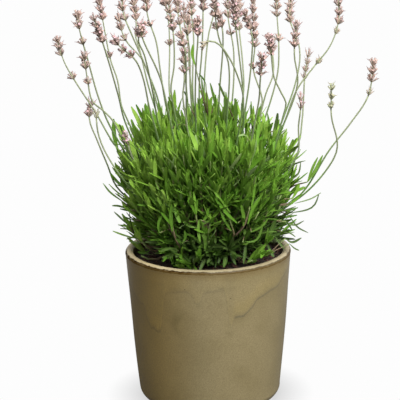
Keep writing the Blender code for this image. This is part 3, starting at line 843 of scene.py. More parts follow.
# %% Rows of flower stems
FLOWER_STEMS = (
    (((-0.112, -0.005, 0.320), (-0.130, 0.000, 0.352), (-0.156, 0.010, 0.392),
      (-0.168, 0.015, 0.414), (-0.176, 0.020, 0.442)), 0.015, (0.008, 0.039)),
    (((-0.110, -0.030, 0.338), (-0.124, -0.035, 0.376), (-0.136, -0.035, 0.424),
      (-0.144, -0.040, 0.460), (-0.146, -0.040, 0.482)), 0.022, (0.019,)),
    (((-0.108, 0.030, 0.252), (-0.122, 0.035, 0.284), (-0.134, 0.040, 0.314),
      (-0.142, 0.045, 0.336), (-0.140, 0.050, 0.360)), 0.021, ()),
    (((-0.100, 0.030, 0.350), (-0.106, 0.035, 0.386), (-0.114, 0.040, 0.410),
      (-0.122, 0.045, 0.456), (-0.128, 0.050, 0.492)), 0.035, (0.046,)),
    (((-0.064, -0.070, 0.370), (-0.070, -0.085, 0.408), (-0.078, -0.095, 0.432),
      (-0.094, -0.110, 0.450), (-0.102, -0.115, 0.462)), 0.012, (0.012, 0.025)),
    (((-0.068, 0.060, 0.366), (-0.080, 0.080, 0.414), (-0.086, 0.090, 0.434),
      (-0.084, 0.090, 0.444), (-0.090, 0.110, 0.492)), 0.046, ()),
    (((-0.048, -0.100, 0.402), (-0.054, -0.110, 0.424), (-0.068, -0.125, 0.460),
      (-0.070, -0.135, 0.476)), 0.015, ()),
    (((-0.040, -0.050, 0.386), (-0.036, -0.050, 0.418), (-0.036, -0.055, 0.454),
      (-0.040, -0.055, 0.482), (-0.044, -0.055, 0.508)), 0.050, ()),
    (((-0.026, -0.100, 0.390), (-0.024, -0.100, 0.408), (-0.024, -0.100, 0.446)), 0.018, (0.010,)),
    (((-0.020, 0.090, 0.388), (-0.022, 0.110, 0.422), (-0.026, 0.125, 0.442),
      (-0.026, 0.140, 0.464)), 0.023, ()),
    (((-0.008, 0.015, 0.376), (-0.004, 0.015, 0.424), (-0.002, 0.010, 0.472),
      (-0.002, 0.010, 0.498)), 0.026, ()),
    (((0.042, -0.080, 0.376), (0.036, -0.095, 0.412), (0.020, -0.110, 0.446),
      (0.006, -0.115, 0.456), (-0.004, -0.120, 0.448)), 0.011, ()),
    (((0.046, 0.080, 0.358), (0.046, 0.095, 0.392), (0.042, 0.120, 0.442), (0.044, 0.135, 0.474)),
     0.030, (0.016,)),
    (((0.066, -0.010, 0.362), (0.056, -0.005, 0.404), (0.058, -0.005, 0.432),
      (0.056, 0.000, 0.490)), 0.060, (0.026,)),
    (((0.070, 0.030, 0.336), (0.086, 0.035, 0.390), (0.088, 0.040, 0.428), (0.086, 0.045, 0.464),
      (0.086, 0.050, 0.492)), 0.034, (0.029,)),
    (((0.058, -0.110, 0.382), (0.060, -0.130, 0.416), (0.062, -0.145, 0.446)), 0.020, (0.009,)),
    (((0.102, 0.050, 0.356), (0.114, 0.065, 0.396), (0.114, 0.075, 0.420), (0.104, 0.090, 0.448),
      (0.106, 0.100, 0.478)), 0.035, ()),
    (((0.092, 0.010, 0.334), (0.108, 0.010, 0.376), (0.128, 0.015, 0.402), (0.148, 0.015, 0.428),
      (0.158, 0.020, 0.458), (0.156, 0.020, 0.494)), 0.042, (0.012, 0.054)),
    (((0.112, 0.000, 0.250), (0.146, 0.000, 0.304), (0.172, 0.000, 0.338), (0.192, 0.000, 0.370),
      (0.198, 0.000, 0.414)), 0.028, (0.016,)),
    (((0.112, -0.035, 0.258), (0.140, -0.040, 0.290), (0.152, -0.045, 0.318),
      (0.144, -0.055, 0.358), (0.144, -0.060, 0.394)), 0.006, (0.011, 0.022)),
    (((-0.106, -0.060, 0.354), (-0.120, -0.060, 0.370), (-0.130, -0.065, 0.380),
      (-0.134, -0.065, 0.400), (-0.138, -0.070, 0.438)), 0.020, (0.018,)),
    (((-0.102, -0.050, 0.290), (-0.118, -0.040, 0.314), (-0.126, -0.035, 0.334),
      (-0.128, -0.035, 0.352), (-0.128, -0.030, 0.364)), 0.011, ()),
    (((-0.094, -0.020, 0.342), (-0.102, -0.035, 0.382), (-0.110, -0.050, 0.420),
      (-0.118, -0.065, 0.454), (-0.126, -0.080, 0.482)), 0.040, ()),
    (((-0.062, 0.040, 0.366), (-0.076, 0.055, 0.406), (-0.094, 0.065, 0.426),
      (-0.100, 0.065, 0.438), (-0.106, 0.075, 0.462)), 0.023, (0.013,)),
    (((-0.056, -0.015, 0.370), (-0.072, -0.015, 0.416), (-0.086, -0.020, 0.452),
      (-0.094, -0.020, 0.474), (-0.096, -0.020, 0.500)), 0.023, (0.011,)),
    (((-0.056, -0.050, 0.352), (-0.060, -0.070, 0.388), (-0.068, -0.095, 0.438), (-0.074, -0.105, 0.456),
      (-0.068, -0.120, 0.480)), 0.022, ()),
    (((-0.048, 0.010, 0.360), (-0.054, 0.015, 0.402), (-0.058, 0.020, 0.434),
      (-0.068, 0.020, 0.468), (-0.068, 0.025, 0.498)), 0.028, (0.018,)),
    (((-0.044, 0.070, 0.354), (-0.044, 0.100, 0.418), (-0.046, 0.115, 0.450),
      (-0.056, 0.130, 0.486)), 0.026, (0.051,)),
    (((-0.022, -0.060, 0.346), (-0.022, -0.100, 0.400), (-0.022, -0.130, 0.446),
      (-0.028, -0.140, 0.470)), 0.018, ()),
    (((-0.024, 0.020, 0.388), (-0.026, 0.030, 0.422), (-0.032, 0.045, 0.464),
      (-0.034, 0.050, 0.490)), 0.026, (0.014,)),
    (((-0.018, -0.030, 0.386), (-0.018, -0.030, 0.426), (-0.020, -0.035, 0.450),
      (-0.020, -0.035, 0.474)), 0.023, ()),
    (((-0.016, 0.060, 0.368), (-0.014, 0.075, 0.428), (-0.016, 0.080, 0.456),
      (-0.016, 0.090, 0.488)), 0.033, (0.016,)),
    (((-0.012, -0.056, 0.340), (-0.012, -0.090, 0.392), (-0.010, -0.120, 0.436), (-0.008, -0.130, 0.460),
      (-0.008, -0.140, 0.486)), 0.023, ()),
    (((-0.002, 0.080, 0.364), (0.004, 0.100, 0.428), (0.012, 0.110, 0.458), (0.012, 0.120, 0.484)),
     0.026, ()),
    (((0.026, -0.050, 0.382), (0.026, -0.060, 0.422), (0.016, -0.070, 0.450),
      (0.012, -0.075, 0.474), (0.010, -0.085, 0.502)), 0.027, (0.015,)),
    (((0.016, -0.020, 0.382), (0.020, -0.030, 0.430), (0.020, -0.035, 0.456),
      (0.014, -0.040, 0.480)), 0.022, ()),
    (((0.032, 0.030, 0.366), (0.034, 0.045, 0.418), (0.028, 0.050, 0.456), (0.028, 0.060, 0.486)),
     0.030, (0.021,)),
    (((0.042, -0.045, 0.340), (0.042, -0.065, 0.392), (0.038, -0.080, 0.434), (0.034, -0.090, 0.472),
      (0.032, -0.100, 0.506)), 0.033, (0.008,)),
    (((0.048, -0.040, 0.380), (0.054, -0.050, 0.440), (0.052, -0.055, 0.458),
      (0.044, -0.060, 0.482)), 0.025, ()),
    (((0.092, -0.050, 0.368), (0.085, -0.055, 0.388), (0.078, -0.060, 0.404),
      (0.075, -0.065, 0.428), (0.072, -0.075, 0.456)), 0.018, (0.008,)),
    (((0.072, 0.050, 0.362), (0.082, 0.060, 0.386), (0.082, 0.075, 0.410), (0.080, 0.085, 0.428)),
     0.019, ()),
    (((0.090, -0.030, 0.342), (0.106, -0.040, 0.392), (0.102, -0.045, 0.428),
      (0.104, -0.050, 0.468)), 0.032, ()),
    (((0.110, 0.030, 0.304), (0.116, 0.040, 0.332), (0.118, 0.045, 0.356), (0.120, 0.050, 0.386),
      (0.126, 0.060, 0.416)), 0.010, (0.009, 0.018, 0.027)),
    (((0.106, -0.025, 0.304), (0.108, -0.025, 0.340), (0.110, -0.030, 0.360),
      (0.110, -0.030, 0.380)), 0.019, ()),
    (((-0.084, -0.050, 0.304), (-0.089, -0.056, 0.320), (-0.094, -0.060, 0.342)), 0.015, ()),
)
PACKED_STEMS = 20


def stem_lines():
    """Each stem's curve, from the crown to its tip."""
    places = crown_places()
    lines = []
    for number, (points, *_) in enumerate(FLOWER_STEMS):
        first = Vector(points[0])
        foot_x, foot_y = first.x * STALK_SPREAD, first.y * STALK_SPREAD
        if number < PACKED_STEMS:
            base, normal = crown_point(*take_nearest(places, foot_x, foot_y))
        else:
            base, normal = crown_point(math.hypot(foot_x, foot_y) * 1.15, math.atan2(foot_y, foot_x))
        lines.append(smooth_curve([base + normal * GAP, *map(Vector, points)], normal, CURVE_STEPS))
    return lines


flower_lines = stem_lines()
print("flower stems:", len(flower_lines))

# %% [markdown]
# ## The small parts of a flower
# A whorl is a ring of calyces: ribbed felted tubes that flare from a narrow base. From some, a
# five-lobed flower looks out, and from others, the dark shrivelled rest of one. Thin bracts stand
# below. Each part is modelled once, pointing up, and then set many times, so it has few faces.

# %% Flower parts
CALYX_LENGTH = 0.0066
CALYX_RINGS = ((0.12, 0.00052), (0.48, 0.00100), (0.84, 0.00096), (1.00, 0.00118))
CALYX_MOUTH = (0.94, 0.00062)


def drawn_out(sides, first_radius, rings, teeth=0.0, material_index=0):
    """A closed form up the Z axis with a ring at each (height, radius). The last ring but one may
    be cut into teeth by raising every other corner."""
    bm = bmesh.new()
    along = bm.verts.layers.float.new("along")
    circle = bmesh.ops.create_circle(bm, cap_ends=True, segments=sides, radius=1.0)
    face = circle["verts"][0].link_faces[0]
    outline = [vert.co.copy() for vert in face.verts]
    for vert in face.verts:
        vert.co *= first_radius
    for i, (height, radius) in enumerate(rings):
        toothed = teeth if i == len(rings) - 2 else 0.0
        corners = [
            side * radius * (1 + 0.35 * (k % 2) * (toothed > 0)) + UP * (height + toothed * (k % 2))
            for k, side in enumerate(outline)
        ]
        face = extrude_to(bm, face, corners)
        for vert in face.verts:
            vert[along] = height / rings[-2][0] if len(rings) > 1 else 1.0
    bmesh.ops.holes_fill(bm, edges=[edge for edge in bm.edges if edge.is_boundary])
    bmesh.ops.recalc_face_normals(bm, faces=bm.faces)
    for face in bm.faces:
        face.material_index = material_index
    mesh = bpy.data.meshes.new("flower_part")
    bm.to_mesh(mesh)
    bm.free()
    return mesh


calyx_part = drawn_out(
    6, 0.0004,
    [(share * CALYX_LENGTH, radius) for share, radius in CALYX_RINGS]
    + [(CALYX_MOUTH[0] * CALYX_LENGTH, CALYX_MOUTH[1])],
    teeth=0.0009,
)


def make_corolla_part():
    """An open flower: a short throat and five lobes round a dark mouth."""
    bm = bmesh.new()
    along = bm.verts.layers.float.new("along")
    circle = bmesh.ops.create_circle(bm, cap_ends=True, segments=10, radius=1.0)
    face = circle["verts"][0].link_faces[0]
    outline = [vert.co.copy() for vert in face.verts]
    for vert in face.verts:
        vert.co *= 0.0005
    for height, wide, narrow, shade in (
        (0.0014, 0.0009, 0.0008, 0.3), (0.0024, 0.0026, 0.0013, 1.0), (0.0018, 0.0008, 0.0007, 0.1),
    ):
        corners = [
            side * (wide if k % 2 else narrow) + UP * (height + (0.0004 if k in (1, 3) else 0.0))
            for k, side in enumerate(outline)
        ]
        face = extrude_to(bm, face, corners)
        for vert in face.verts:
            vert[along] = shade
    bmesh.ops.holes_fill(bm, edges=[edge for edge in bm.edges if edge.is_boundary])
    bmesh.ops.recalc_face_normals(bm, faces=bm.faces)
    for face in bm.faces:
        face.material_index = 1
    mesh = bpy.data.meshes.new("corolla_part")
    bm.to_mesh(mesh)
    bm.free()
    return mesh


corolla_part = make_corolla_part()
withered_part = drawn_out(
    4, 0.0003, [(0.0014, 0.00044), (0.0032, 0.00034), (0.0048, 0.00012)], material_index=2
)
bract_part = drawn_out(
    4, 0.0003, [(0.0014, 0.00080), (0.0030, 0.00050), (0.0044, 0.00014)], material_index=3
)
print("calyx faces:", len(calyx_part.polygons), "corolla faces:", len(corolla_part.polygons))

# %% [markdown]
# ## Flower finishes
# The felted calyx is olive at its base and a dusty pink-brown above, a little darker at its teeth.
# The open flowers are pale pink. Each part carries its own tint and how far up the part a corner
# lies.

# %% Flower finishes
def make_flower_finish(name, foot, middle, tip, roughness=0.75):
    material, tree, shader = start_finish(name, roughness)
    place = object_place(tree)
    patches, grain = mottle(tree, place, 420.0, 2600.0)
    along = attribute(tree, "along")
    tint = attribute(tree, "tint")
    green = attribute(tree, "green")
    color = blend(tree, remap(tree, along, 0.05, 0.55), foot, middle)
    color = blend(tree, remap(tree, along, 0.62, 1.0), color, tip)
    warm = tuple(min(1.0, c * k) for c, k in zip(middle, (1.45, 1.15, 1.10)))
    color = blend(tree, calculate(tree, "MULTIPLY", tint, 0.75), color, warm)
    shaded = tuple(c * 0.7 for c in middle)
    color = blend(tree, calculate(tree, "MULTIPLY", patches, 0.22), color, shaded)
    color = blend(tree, calculate(tree, "MULTIPLY", green, 0.85), color, (0.340, 0.380, 0.215))
    plug(tree, shader.inputs["Base Color"], color)
    shader.inputs["Specular IOR Level"].default_value = 0.2
    raise_bumps(tree, shader, grain, 0.25, 0.0003)
    return material


# Name, then the colour at the foot, the middle and the tip.
FLOWER_COLORS = (
    ("felted_calyx", (0.286, 0.277, 0.157), (0.365, 0.290, 0.255), (0.340, 0.250, 0.245)),
    ("pink_corolla", (0.430, 0.280, 0.300), (0.540, 0.385, 0.415), (0.590, 0.450, 0.495)),
    ("withered_corolla", (0.345, 0.248, 0.230), (0.325, 0.228, 0.225), (0.290, 0.195, 0.200)),
    ("brown_bract", (0.286, 0.281, 0.147), (0.322, 0.263, 0.184), (0.280, 0.205, 0.165)),
)
flower_finishes = [make_flower_finish(*colors) for colors in FLOWER_COLORS] + [stalk_green]

# %% [markdown]
# ## Flower spikes
# Each whorl sits at its own height on the stem. Its calyces stand in a ring and lean out far
# enough to reach the whorl's radius, and a second, smaller ring stands inside them. Towards the
# tip the whorls get smaller and the calyces more upright.

# %% Spike pieces
WHORL_RADIUS = 0.0050
WHORL_PITCH = 0.0094
WHORL_NECK = 0.0014
WHORL_SHARE = 0.94
LONE_WHORL_HEIGHT = 0.006
SPIKE_TAPER = 0.45
STALK_RADIUS = 0.0011


def set_part(bm, part, matrix, values):
    """Adds a copy of a part, moved by the matrix, with its values written on every corner."""
    start = len(bm.verts)
    bm.from_mesh(part)
    bm.verts.ensure_lookup_table()
    layers = [(bm.verts.layers.float[name], value) for name, value in values.items()]
    for vert in bm.verts[start:]:
        vert.co = matrix @ vert.co
        for layer, value in layers:
            vert[layer] = value


def flower_layers(bm):
    for name in ("along", "tint", "green"):
        bm.verts.layers.float.new(name)


def lean_matrix(place, turn, bearing, lean, scale):
    """Stands a part on a place of the stem, turned to a bearing round it and leaning out."""
    return (
        Matrix.Translation(place) @ turn.to_matrix().to_4x4() @ Matrix.Rotation(bearing, 4, "Z")
        @ Matrix.Rotation(lean, 4, "Y") @ Matrix.Diagonal((*scale, 1.0))
    )


def add_whorl(bm, curve, foot, height, radius, rng, mood, count):
    """One whorl of calyces with their flowers, rests of flowers and bracts."""
    green, bloom = mood
    for lift, share, number in ((0.0, 1.0, count), (0.22, 0.5, count // 2)):
        place, direction = point_at(curve, foot + lift * height)
        turn = UP.rotation_difference(direction)
        start = rng.uniform(0, math.tau)
        for i in range(number):
            bearing = start + math.tau * i / number + rng.uniform(-0.22, 0.22)
            reach = CALYX_LENGTH * rng.uniform(0.86, 1.16) * (0.66 + 0.42 * height / 0.008)
            lean = math.asin(min(0.85, share * radius * rng.uniform(0.78, 1.05) / reach))
            size = reach / CALYX_LENGTH
            girth = rng.uniform(1.00, 1.30) * (radius / WHORL_RADIUS)
            side = turn @ Vector((math.cos(bearing), math.sin(bearing), 0.0))
            seat = place + side * STALK_RADIUS * 0.5
            matrix = lean_matrix(seat, turn, bearing, lean, (girth, girth, size))
            tint = rng.random()**1.6
            set_part(bm, calyx_part, matrix, {"tint": tint, "green": green * rng.uniform(0.6, 1.0)})
            top = matrix @ Matrix.Translation((0, 0, CALYX_LENGTH * 0.86))
            kind = rng.random()
            if kind < bloom:
                grow = rng.uniform(0.60, 0.95)
                opened = top @ Matrix.Diagonal((grow / girth, grow / girth, grow / size, 1.0))
                set_part(bm, corolla_part, opened, {"tint": rng.random(), "green": 0.0})
            elif kind < bloom + 0.40:
                tilt = Matrix.Rotation(rng.uniform(0.0, 0.9), 4, "Y")
                tilt = tilt @ Matrix.Rotation(rng.uniform(-0.4, 0.4), 4, "X")
                values = {"tint": rng.random() * 0.5, "green": green * 0.6}
                set_part(bm, withered_part, top @ tilt, values)
    place, direction = point_at(curve, foot)
    turn = UP.rotation_difference(direction)
    start = rng.uniform(0, math.tau)
    for i in range(4):
        bearing = start + math.tau * i / 4
        lean = rng.uniform(0.75, 1.15)
        matrix = lean_matrix(place, turn, bearing, lean, (0.35, 1.25, rng.uniform(0.8, 1.3)))
        set_part(bm, bract_part, matrix, {"tint": rng.random() * 0.4, "green": green})


def spike_feet(total, head, lone):
    """(foot, height, radius) of every whorl, lone ones first."""
    whorls = max(1, round(head / WHORL_PITCH))
    head_start = total - head
    feet = [(head_start - gap, LONE_WHORL_HEIGHT, WHORL_RADIUS) for gap in lone]
    pitch = head / whorls
    for i in range(whorls):
        narrowing = 1 - SPIKE_TAPER * (i / whorls)**2
        feet.append((head_start + pitch * i, pitch * WHORL_SHARE, WHORL_RADIUS * narrowing))
    return sorted(feet)


# By stem number: how green a head still is, and below it the head's share of open flowers.
GREEN_HEADS = {12: 0.5, 20: 1.0, 22: 0.8, 41: 0.15}
OPEN_HEADS = {
    5: 0.45, 7: 0.30, 8: 0.20, 9: 0.35, 16: 0.25, 20: 0.0, 22: 0.0, 38: 0.35, 40: 0.3, 44: 0.6,
    45: 0.7,
}
USUAL_OPEN = 0.06
# Stems with a thin head, and stems whose lone whorls are small and green.
SLIM_HEADS = (12, 20, 22, 43, 44, 45)
GREEN_LONE = (18, 19)
SLIMMER = 0.68
LEAST_WHORL_HEIGHT = 0.0045
# How far the stem inside a spike goes past the last whorl's foot.
CORE_END = 0.0012


def make_spike(bm, number, curve):
    _, head, lone = FLOWER_STEMS[number - 1]
    rng = random.Random(400 + number)
    total = length_of(curve)
    feet = spike_feet(total, head, lone)
    start = feet[0][0] - WHORL_NECK
    reach = feet[-1][0] + CORE_END - start
    steps = max(4, round(reach / 0.004))
    core = [(start + reach * i / steps, 0.0010 - 0.0004 * i / steps) for i in range(steps + 1)]
    pour(bm, sweep(curve, 6, core, material_index=4))
    green = GREEN_HEADS.get(number, rng.uniform(0.0, 0.18))
    mood = (green, OPEN_HEADS.get(number, USUAL_OPEN))
    for foot, height, radius in feet:
        lonely = foot < total - head - 1e-6
        small = number in SLIM_HEADS or (lonely and number in GREEN_LONE)
        if small:
            radius *= SLIMMER
        count = 4 if lonely or small else rng.choice((5, 6, 7))
        here = (0.6, 0.0) if lonely and number in GREEN_LONE else mood
        add_whorl(bm, curve, foot, max(height, LEAST_WHORL_HEIGHT), radius, rng, here, count)


def spike_mesh(numbers):
    bm = bmesh.new()
    flower_layers(bm)
    for number in numbers:
        make_spike(bm, number, flower_lines[number - 1])
    return bm


for number in range(1, PACKED_STEMS + 1):
    add_piece(
        f"flower_spike_{number:02d}_bloom", spike_mesh([number]), flower_finishes,
        f"flower_spike_{number:02d}", slot="lavender_flower",
    )
others = range(PACKED_STEMS + 1, len(FLOWER_STEMS) + 1)
add_piece("further_spikes", spike_mesh(others), flower_finishes, slot="lavender_flower")
spikes = [obj for obj in bpy.data.objects if "spike" in obj.name and "bloom" in obj.name]
print("spike faces:", sum(len(obj.data.polygons) for obj in spikes))

# %% [markdown]
# ## Flower stalks
# A stalk is a slim stem that runs from the crown, or just short of it, up to its spike. It is a
# little thicker at its foot.

# %% Stalk pieces
def stalk_mesh(numbers):
    bm = bmesh.new()
    bm.verts.layers.float.new("along")
    for number in numbers:
        curve = flower_lines[number - 1]
        _, head, lone = FLOWER_STEMS[number - 1]
        end = spike_feet(length_of(curve), head, lone)[0][0] - WHORL_NECK
        steps = round(end / 0.007)
        rings = [(end * i / steps, STALK_RADIUS * (1.12 - 0.22 * i / steps)) for i in range(steps + 1)]
        pour(bm, sweep(curve, 6, rings))
    return bm


for number in range(1, PACKED_STEMS + 1):
    add_piece(
        f"flower_stalk_{number:02d}_green", stalk_mesh([number]), [stalk_green],
        f"flower_stalk_{number:02d}", slot="lavender_stalk",
    )
add_piece("further_stalks", stalk_mesh(others), [stalk_green], slot="lavender_stalk")

# %% [markdown]
# ## One leaf
# A lavender leaf is a narrow blade with a blunt tip and a shallow groove along its middle. It
# starts as a small flat grid, whose rows are narrowed to the leaf's outline and folded, and gets
# its thickness last. The grid's own UV map says where on the leaf a point is, for the vein.

# %% Leaf part
LEAF_ROWS = 5
LONG_LEAF_ROWS = 9
LEAF_FOLD = 0.22
LEAF_THICKNESS = 0.08


def leaf_outline(along):
    """The leaf's half width as a share of its widest, from its foot (0) to its tip (1)."""
    rise = 0.34 + 0.66 * math.sin(math.pi / 2 * min(1.0, along / 0.55))
    return rise * (1 - 0.72 * max(0.0, (along - 0.62) / 0.38)**2)


def make_leaf_part(rows):
    """A flat blade of so many rows with its groove, and each corner's (x, row, z)."""
    bm = bmesh.new()
    bm.loops.layers.uv.new("blade")
    for name in ("tint", "age_and_painted_shade", "down"):
        bm.verts.layers.float.new(name)
    bmesh.ops.create_grid(bm, x_segments=2, y_segments=rows, size=0.5, calc_uvs=True)
    for vert in bm.verts:
        along = vert.co.y + 0.5
        vert.co.x *= leaf_outline(along)
        vert.co.z = LEAF_FOLD * abs(vert.co.x)
    bmesh.ops.solidify(bm, geom=bm.faces[:], thickness=LEAF_THICKNESS)
    bmesh.ops.recalc_face_normals(bm, faces=bm.faces)
    for edge in bm.edges:
        if edge.calc_face_angle() > math.radians(50):
            edge.smooth = False
    mesh = bpy.data.meshes.new("leaf_part")
    bm.to_mesh(mesh)
    bm.free()
    layout = [
        (vert.co.x, min(rows, max(0, round((vert.co.y + 0.5) * rows))), vert.co.z)
        for vert in mesh.vertices
    ]
    return mesh, layout


leaf_parts = {rows: make_leaf_part(rows) for rows in (LEAF_ROWS, LONG_LEAF_ROWS)}
print("leaf faces:", len(leaf_parts[LEAF_ROWS][0].polygons))

# %% [markdown]
# ## Leaf finish
# Young leaves at the tips are a bright yellow-green, older ones darker and duller, and some are
# grey with down. A paler vein runs along the groove. Each leaf carries its own age and tint. The
# age also carries painted shade, which darkens low and inner leaves towards the oldest green, and
# painted light, which makes leaves on the left paler.

# %% Leaf finish
def make_leaf_finish():
    material, tree, shader = start_finish("lavender_leaf", 0.52)
    place = object_place(tree)
    patches, grain = mottle(tree, place, 130.0, 1500.0)
    shader.inputs["Specular IOR Level"].default_value = 0.18
    age_and_painted_shade = attribute(tree, "age_and_painted_shade")
    tint = attribute(tree, "tint")
    young = blend(tree, tint, (0.192, 0.368, 0.032), (0.285, 0.455, 0.074))
    grown = blend(tree, tint, (0.086, 0.220, 0.013), (0.146, 0.290, 0.033))
    old_and_shaded_green = blend(tree, tint, (0.026, 0.064, 0.008), (0.060, 0.096, 0.027))
    color = blend(tree, remap(tree, age_and_painted_shade, 0.0, 0.5), young, grown)
    # The oldest green also gives the painted shade of low and inner leaves.
    color = blend(tree, remap(tree, age_and_painted_shade, 0.5, 1.0), color, old_and_shaded_green)
    color = blend(tree, calculate(tree, "MULTIPLY", patches, 0.25), color, (0.055, 0.125, 0.010))
    split = tree.nodes.new("ShaderNodeSeparateXYZ")
    uv = tree.nodes.new("ShaderNodeUVMap")
    uv.uv_map = "blade"
    plug(tree, split.inputs["Vector"], uv.outputs["UV"])
    off_middle = calculate(tree, "ABSOLUTE", calculate(tree, "SUBTRACT", split.outputs["X"], 0.5))
    vein = remap(tree, off_middle, 0.09, 0.02)
    color = blend(tree, calculate(tree, "MULTIPLY", vein, 0.22), color, (0.300, 0.420, 0.070))
    down = attribute(tree, "down")
    color = blend(tree, calculate(tree, "POWER", down, 1.3), color, (0.420, 0.520, 0.270))
    plug(tree, shader.inputs["Base Color"], color)
    plug(tree, shader.inputs["Roughness"], remap(tree, grain, 0.0, 1.0, 0.42, 0.58))
    height = calculate(tree, "SUBTRACT", calculate(tree, "MULTIPLY", grain, 0.4), vein)
    raise_bumps(tree, shader, height, 0.4, 0.0004)
    return material


def make_shoot_finish():
    material, tree, shader = start_finish("shoot_stem", 0.65)
    place = object_place(tree)
    patches, grain = mottle(tree, place, 110.0, 1100.0)
    along = attribute(tree, "along")
    color = blend(tree, remap(tree, along, 0.15, 0.55), (0.095, 0.062, 0.038), (0.190, 0.130, 0.070))
    color = blend(tree, remap(tree, along, 0.55, 0.95), color, (0.180, 0.260, 0.065))
    color = blend(tree, calculate(tree, "MULTIPLY", patches, 0.4), color, (0.070, 0.055, 0.030))
    plug(tree, shader.inputs["Base Color"], color)
    raise_bumps(tree, shader, grain, 0.5, 0.0004)
    return material


leaf_green = make_leaf_finish()
shoot_bark = make_shoot_finish()

# %% [markdown]
# ## Setting a leaf
# A leaf leaves its stem at a lean, and its lean changes along its length, so that it curves. It
# may also drift to one side. The rows of the leaf part are set along that curve one by one. A
# leaf that would pass through the pot or the soil isn't set.

# %% Leaf placement
RIM_CLEAR = 0.0015
# Where the soil and the rim stay bare, and how high the leaves keep above the rim there.
BARE_BEARINGS = ((-181, -146), (-36, -8))
BARE_HEIGHT = 0.014


def leaf_rows(foot, up, out, length, lean, bend, drift=0.0):
    """Each row's (point, face, side) for a leaf that leaves foot between up and out."""
    across = up.cross(out)
    rows = []
    point = foot.copy()
    for row in range(LEAF_ROWS + 1):
        share = row / LEAF_ROWS
        lean_here, drift_here = lean + bend * share, drift * share
        along = up * math.cos(lean_here) + out * math.sin(lean_here)
        face = up * math.sin(lean_here) - out * math.cos(lean_here)
        side = across * math.cos(drift_here) - along * math.sin(drift_here)
        rows.append((point.copy(), face, side))
        step = along * math.cos(drift_here) + across * math.sin(drift_here)
        point += step * (length / LEAF_ROWS)
    return rows


def in_the_way(point):
    """Whether a point is in or under the pot's rim, the pot's wall or the soil."""
    reach = point.xy.length
    bearing = math.degrees(math.atan2(point.y, point.x))
    if reach > 0.066 and any(a < bearing < b for a, b in BARE_BEARINGS):
        return point.z < POT_HEIGHT + BARE_HEIGHT
    if reach > inner_radius(POT_HEIGHT) - 0.002:
        return point.z < POT_HEIGHT + RIM_CLEAR
    return point.z < soil_top(reach) + 0.0015


def clear_of_pot(rows):
    return not any(in_the_way(point) for point, _, _ in rows[1:])


def set_leaf(bm, rows, width, age_and_painted_shade, tint, twist=0.0, down=0.0):
    start = len(bm.verts)
    count = len(rows) - 1
    part, layout = leaf_parts[count]
    bm.from_mesh(part)
    bm.verts.ensure_lookup_table()
    layers = [(bm.verts.layers.float[name], value) for name, value in
              (("age_and_painted_shade", age_and_painted_shade), ("tint", tint), ("down", down))]
    frames = []
    for row, (point, face, side) in enumerate(rows):
        angle = twist * row / count
        turned = side * math.cos(angle) + face * math.sin(angle)
        normal = face * math.cos(angle) - side * math.sin(angle)
        frames.append((point, turned * width, normal * width))
    for vert, (x, row, z) in zip(bm.verts[start:], layout):
        point, side, normal = frames[row]
        vert.co = point + side * x + normal * z
        for layer, value in layers:
            vert[layer] = value


# %% [markdown]
# ## A leafy shoot
# A shoot is a thin stem, woody below and green above. Leaves stand on it in pairs, each pair
# crosswise to the last: short and spreading low down, long and nearly upright near the tip, where
# the youngest close into a tuft. Some shoots are open and some are tight.

# %% Shoot builder
def shoot_layers(bm):
    bm.loops.layers.uv.new("blade")
    for name in ("tint", "age_and_painted_shade", "down", "along"):
        bm.verts.layers.float.new(name)


def cross_axes(direction, pull):
    """An upright direction near a stem's own, and two directions square to it."""
    up = (direction + UP * pull).normalized()
    first = up.orthogonal().normalized()
    return up, first, up.cross(first)


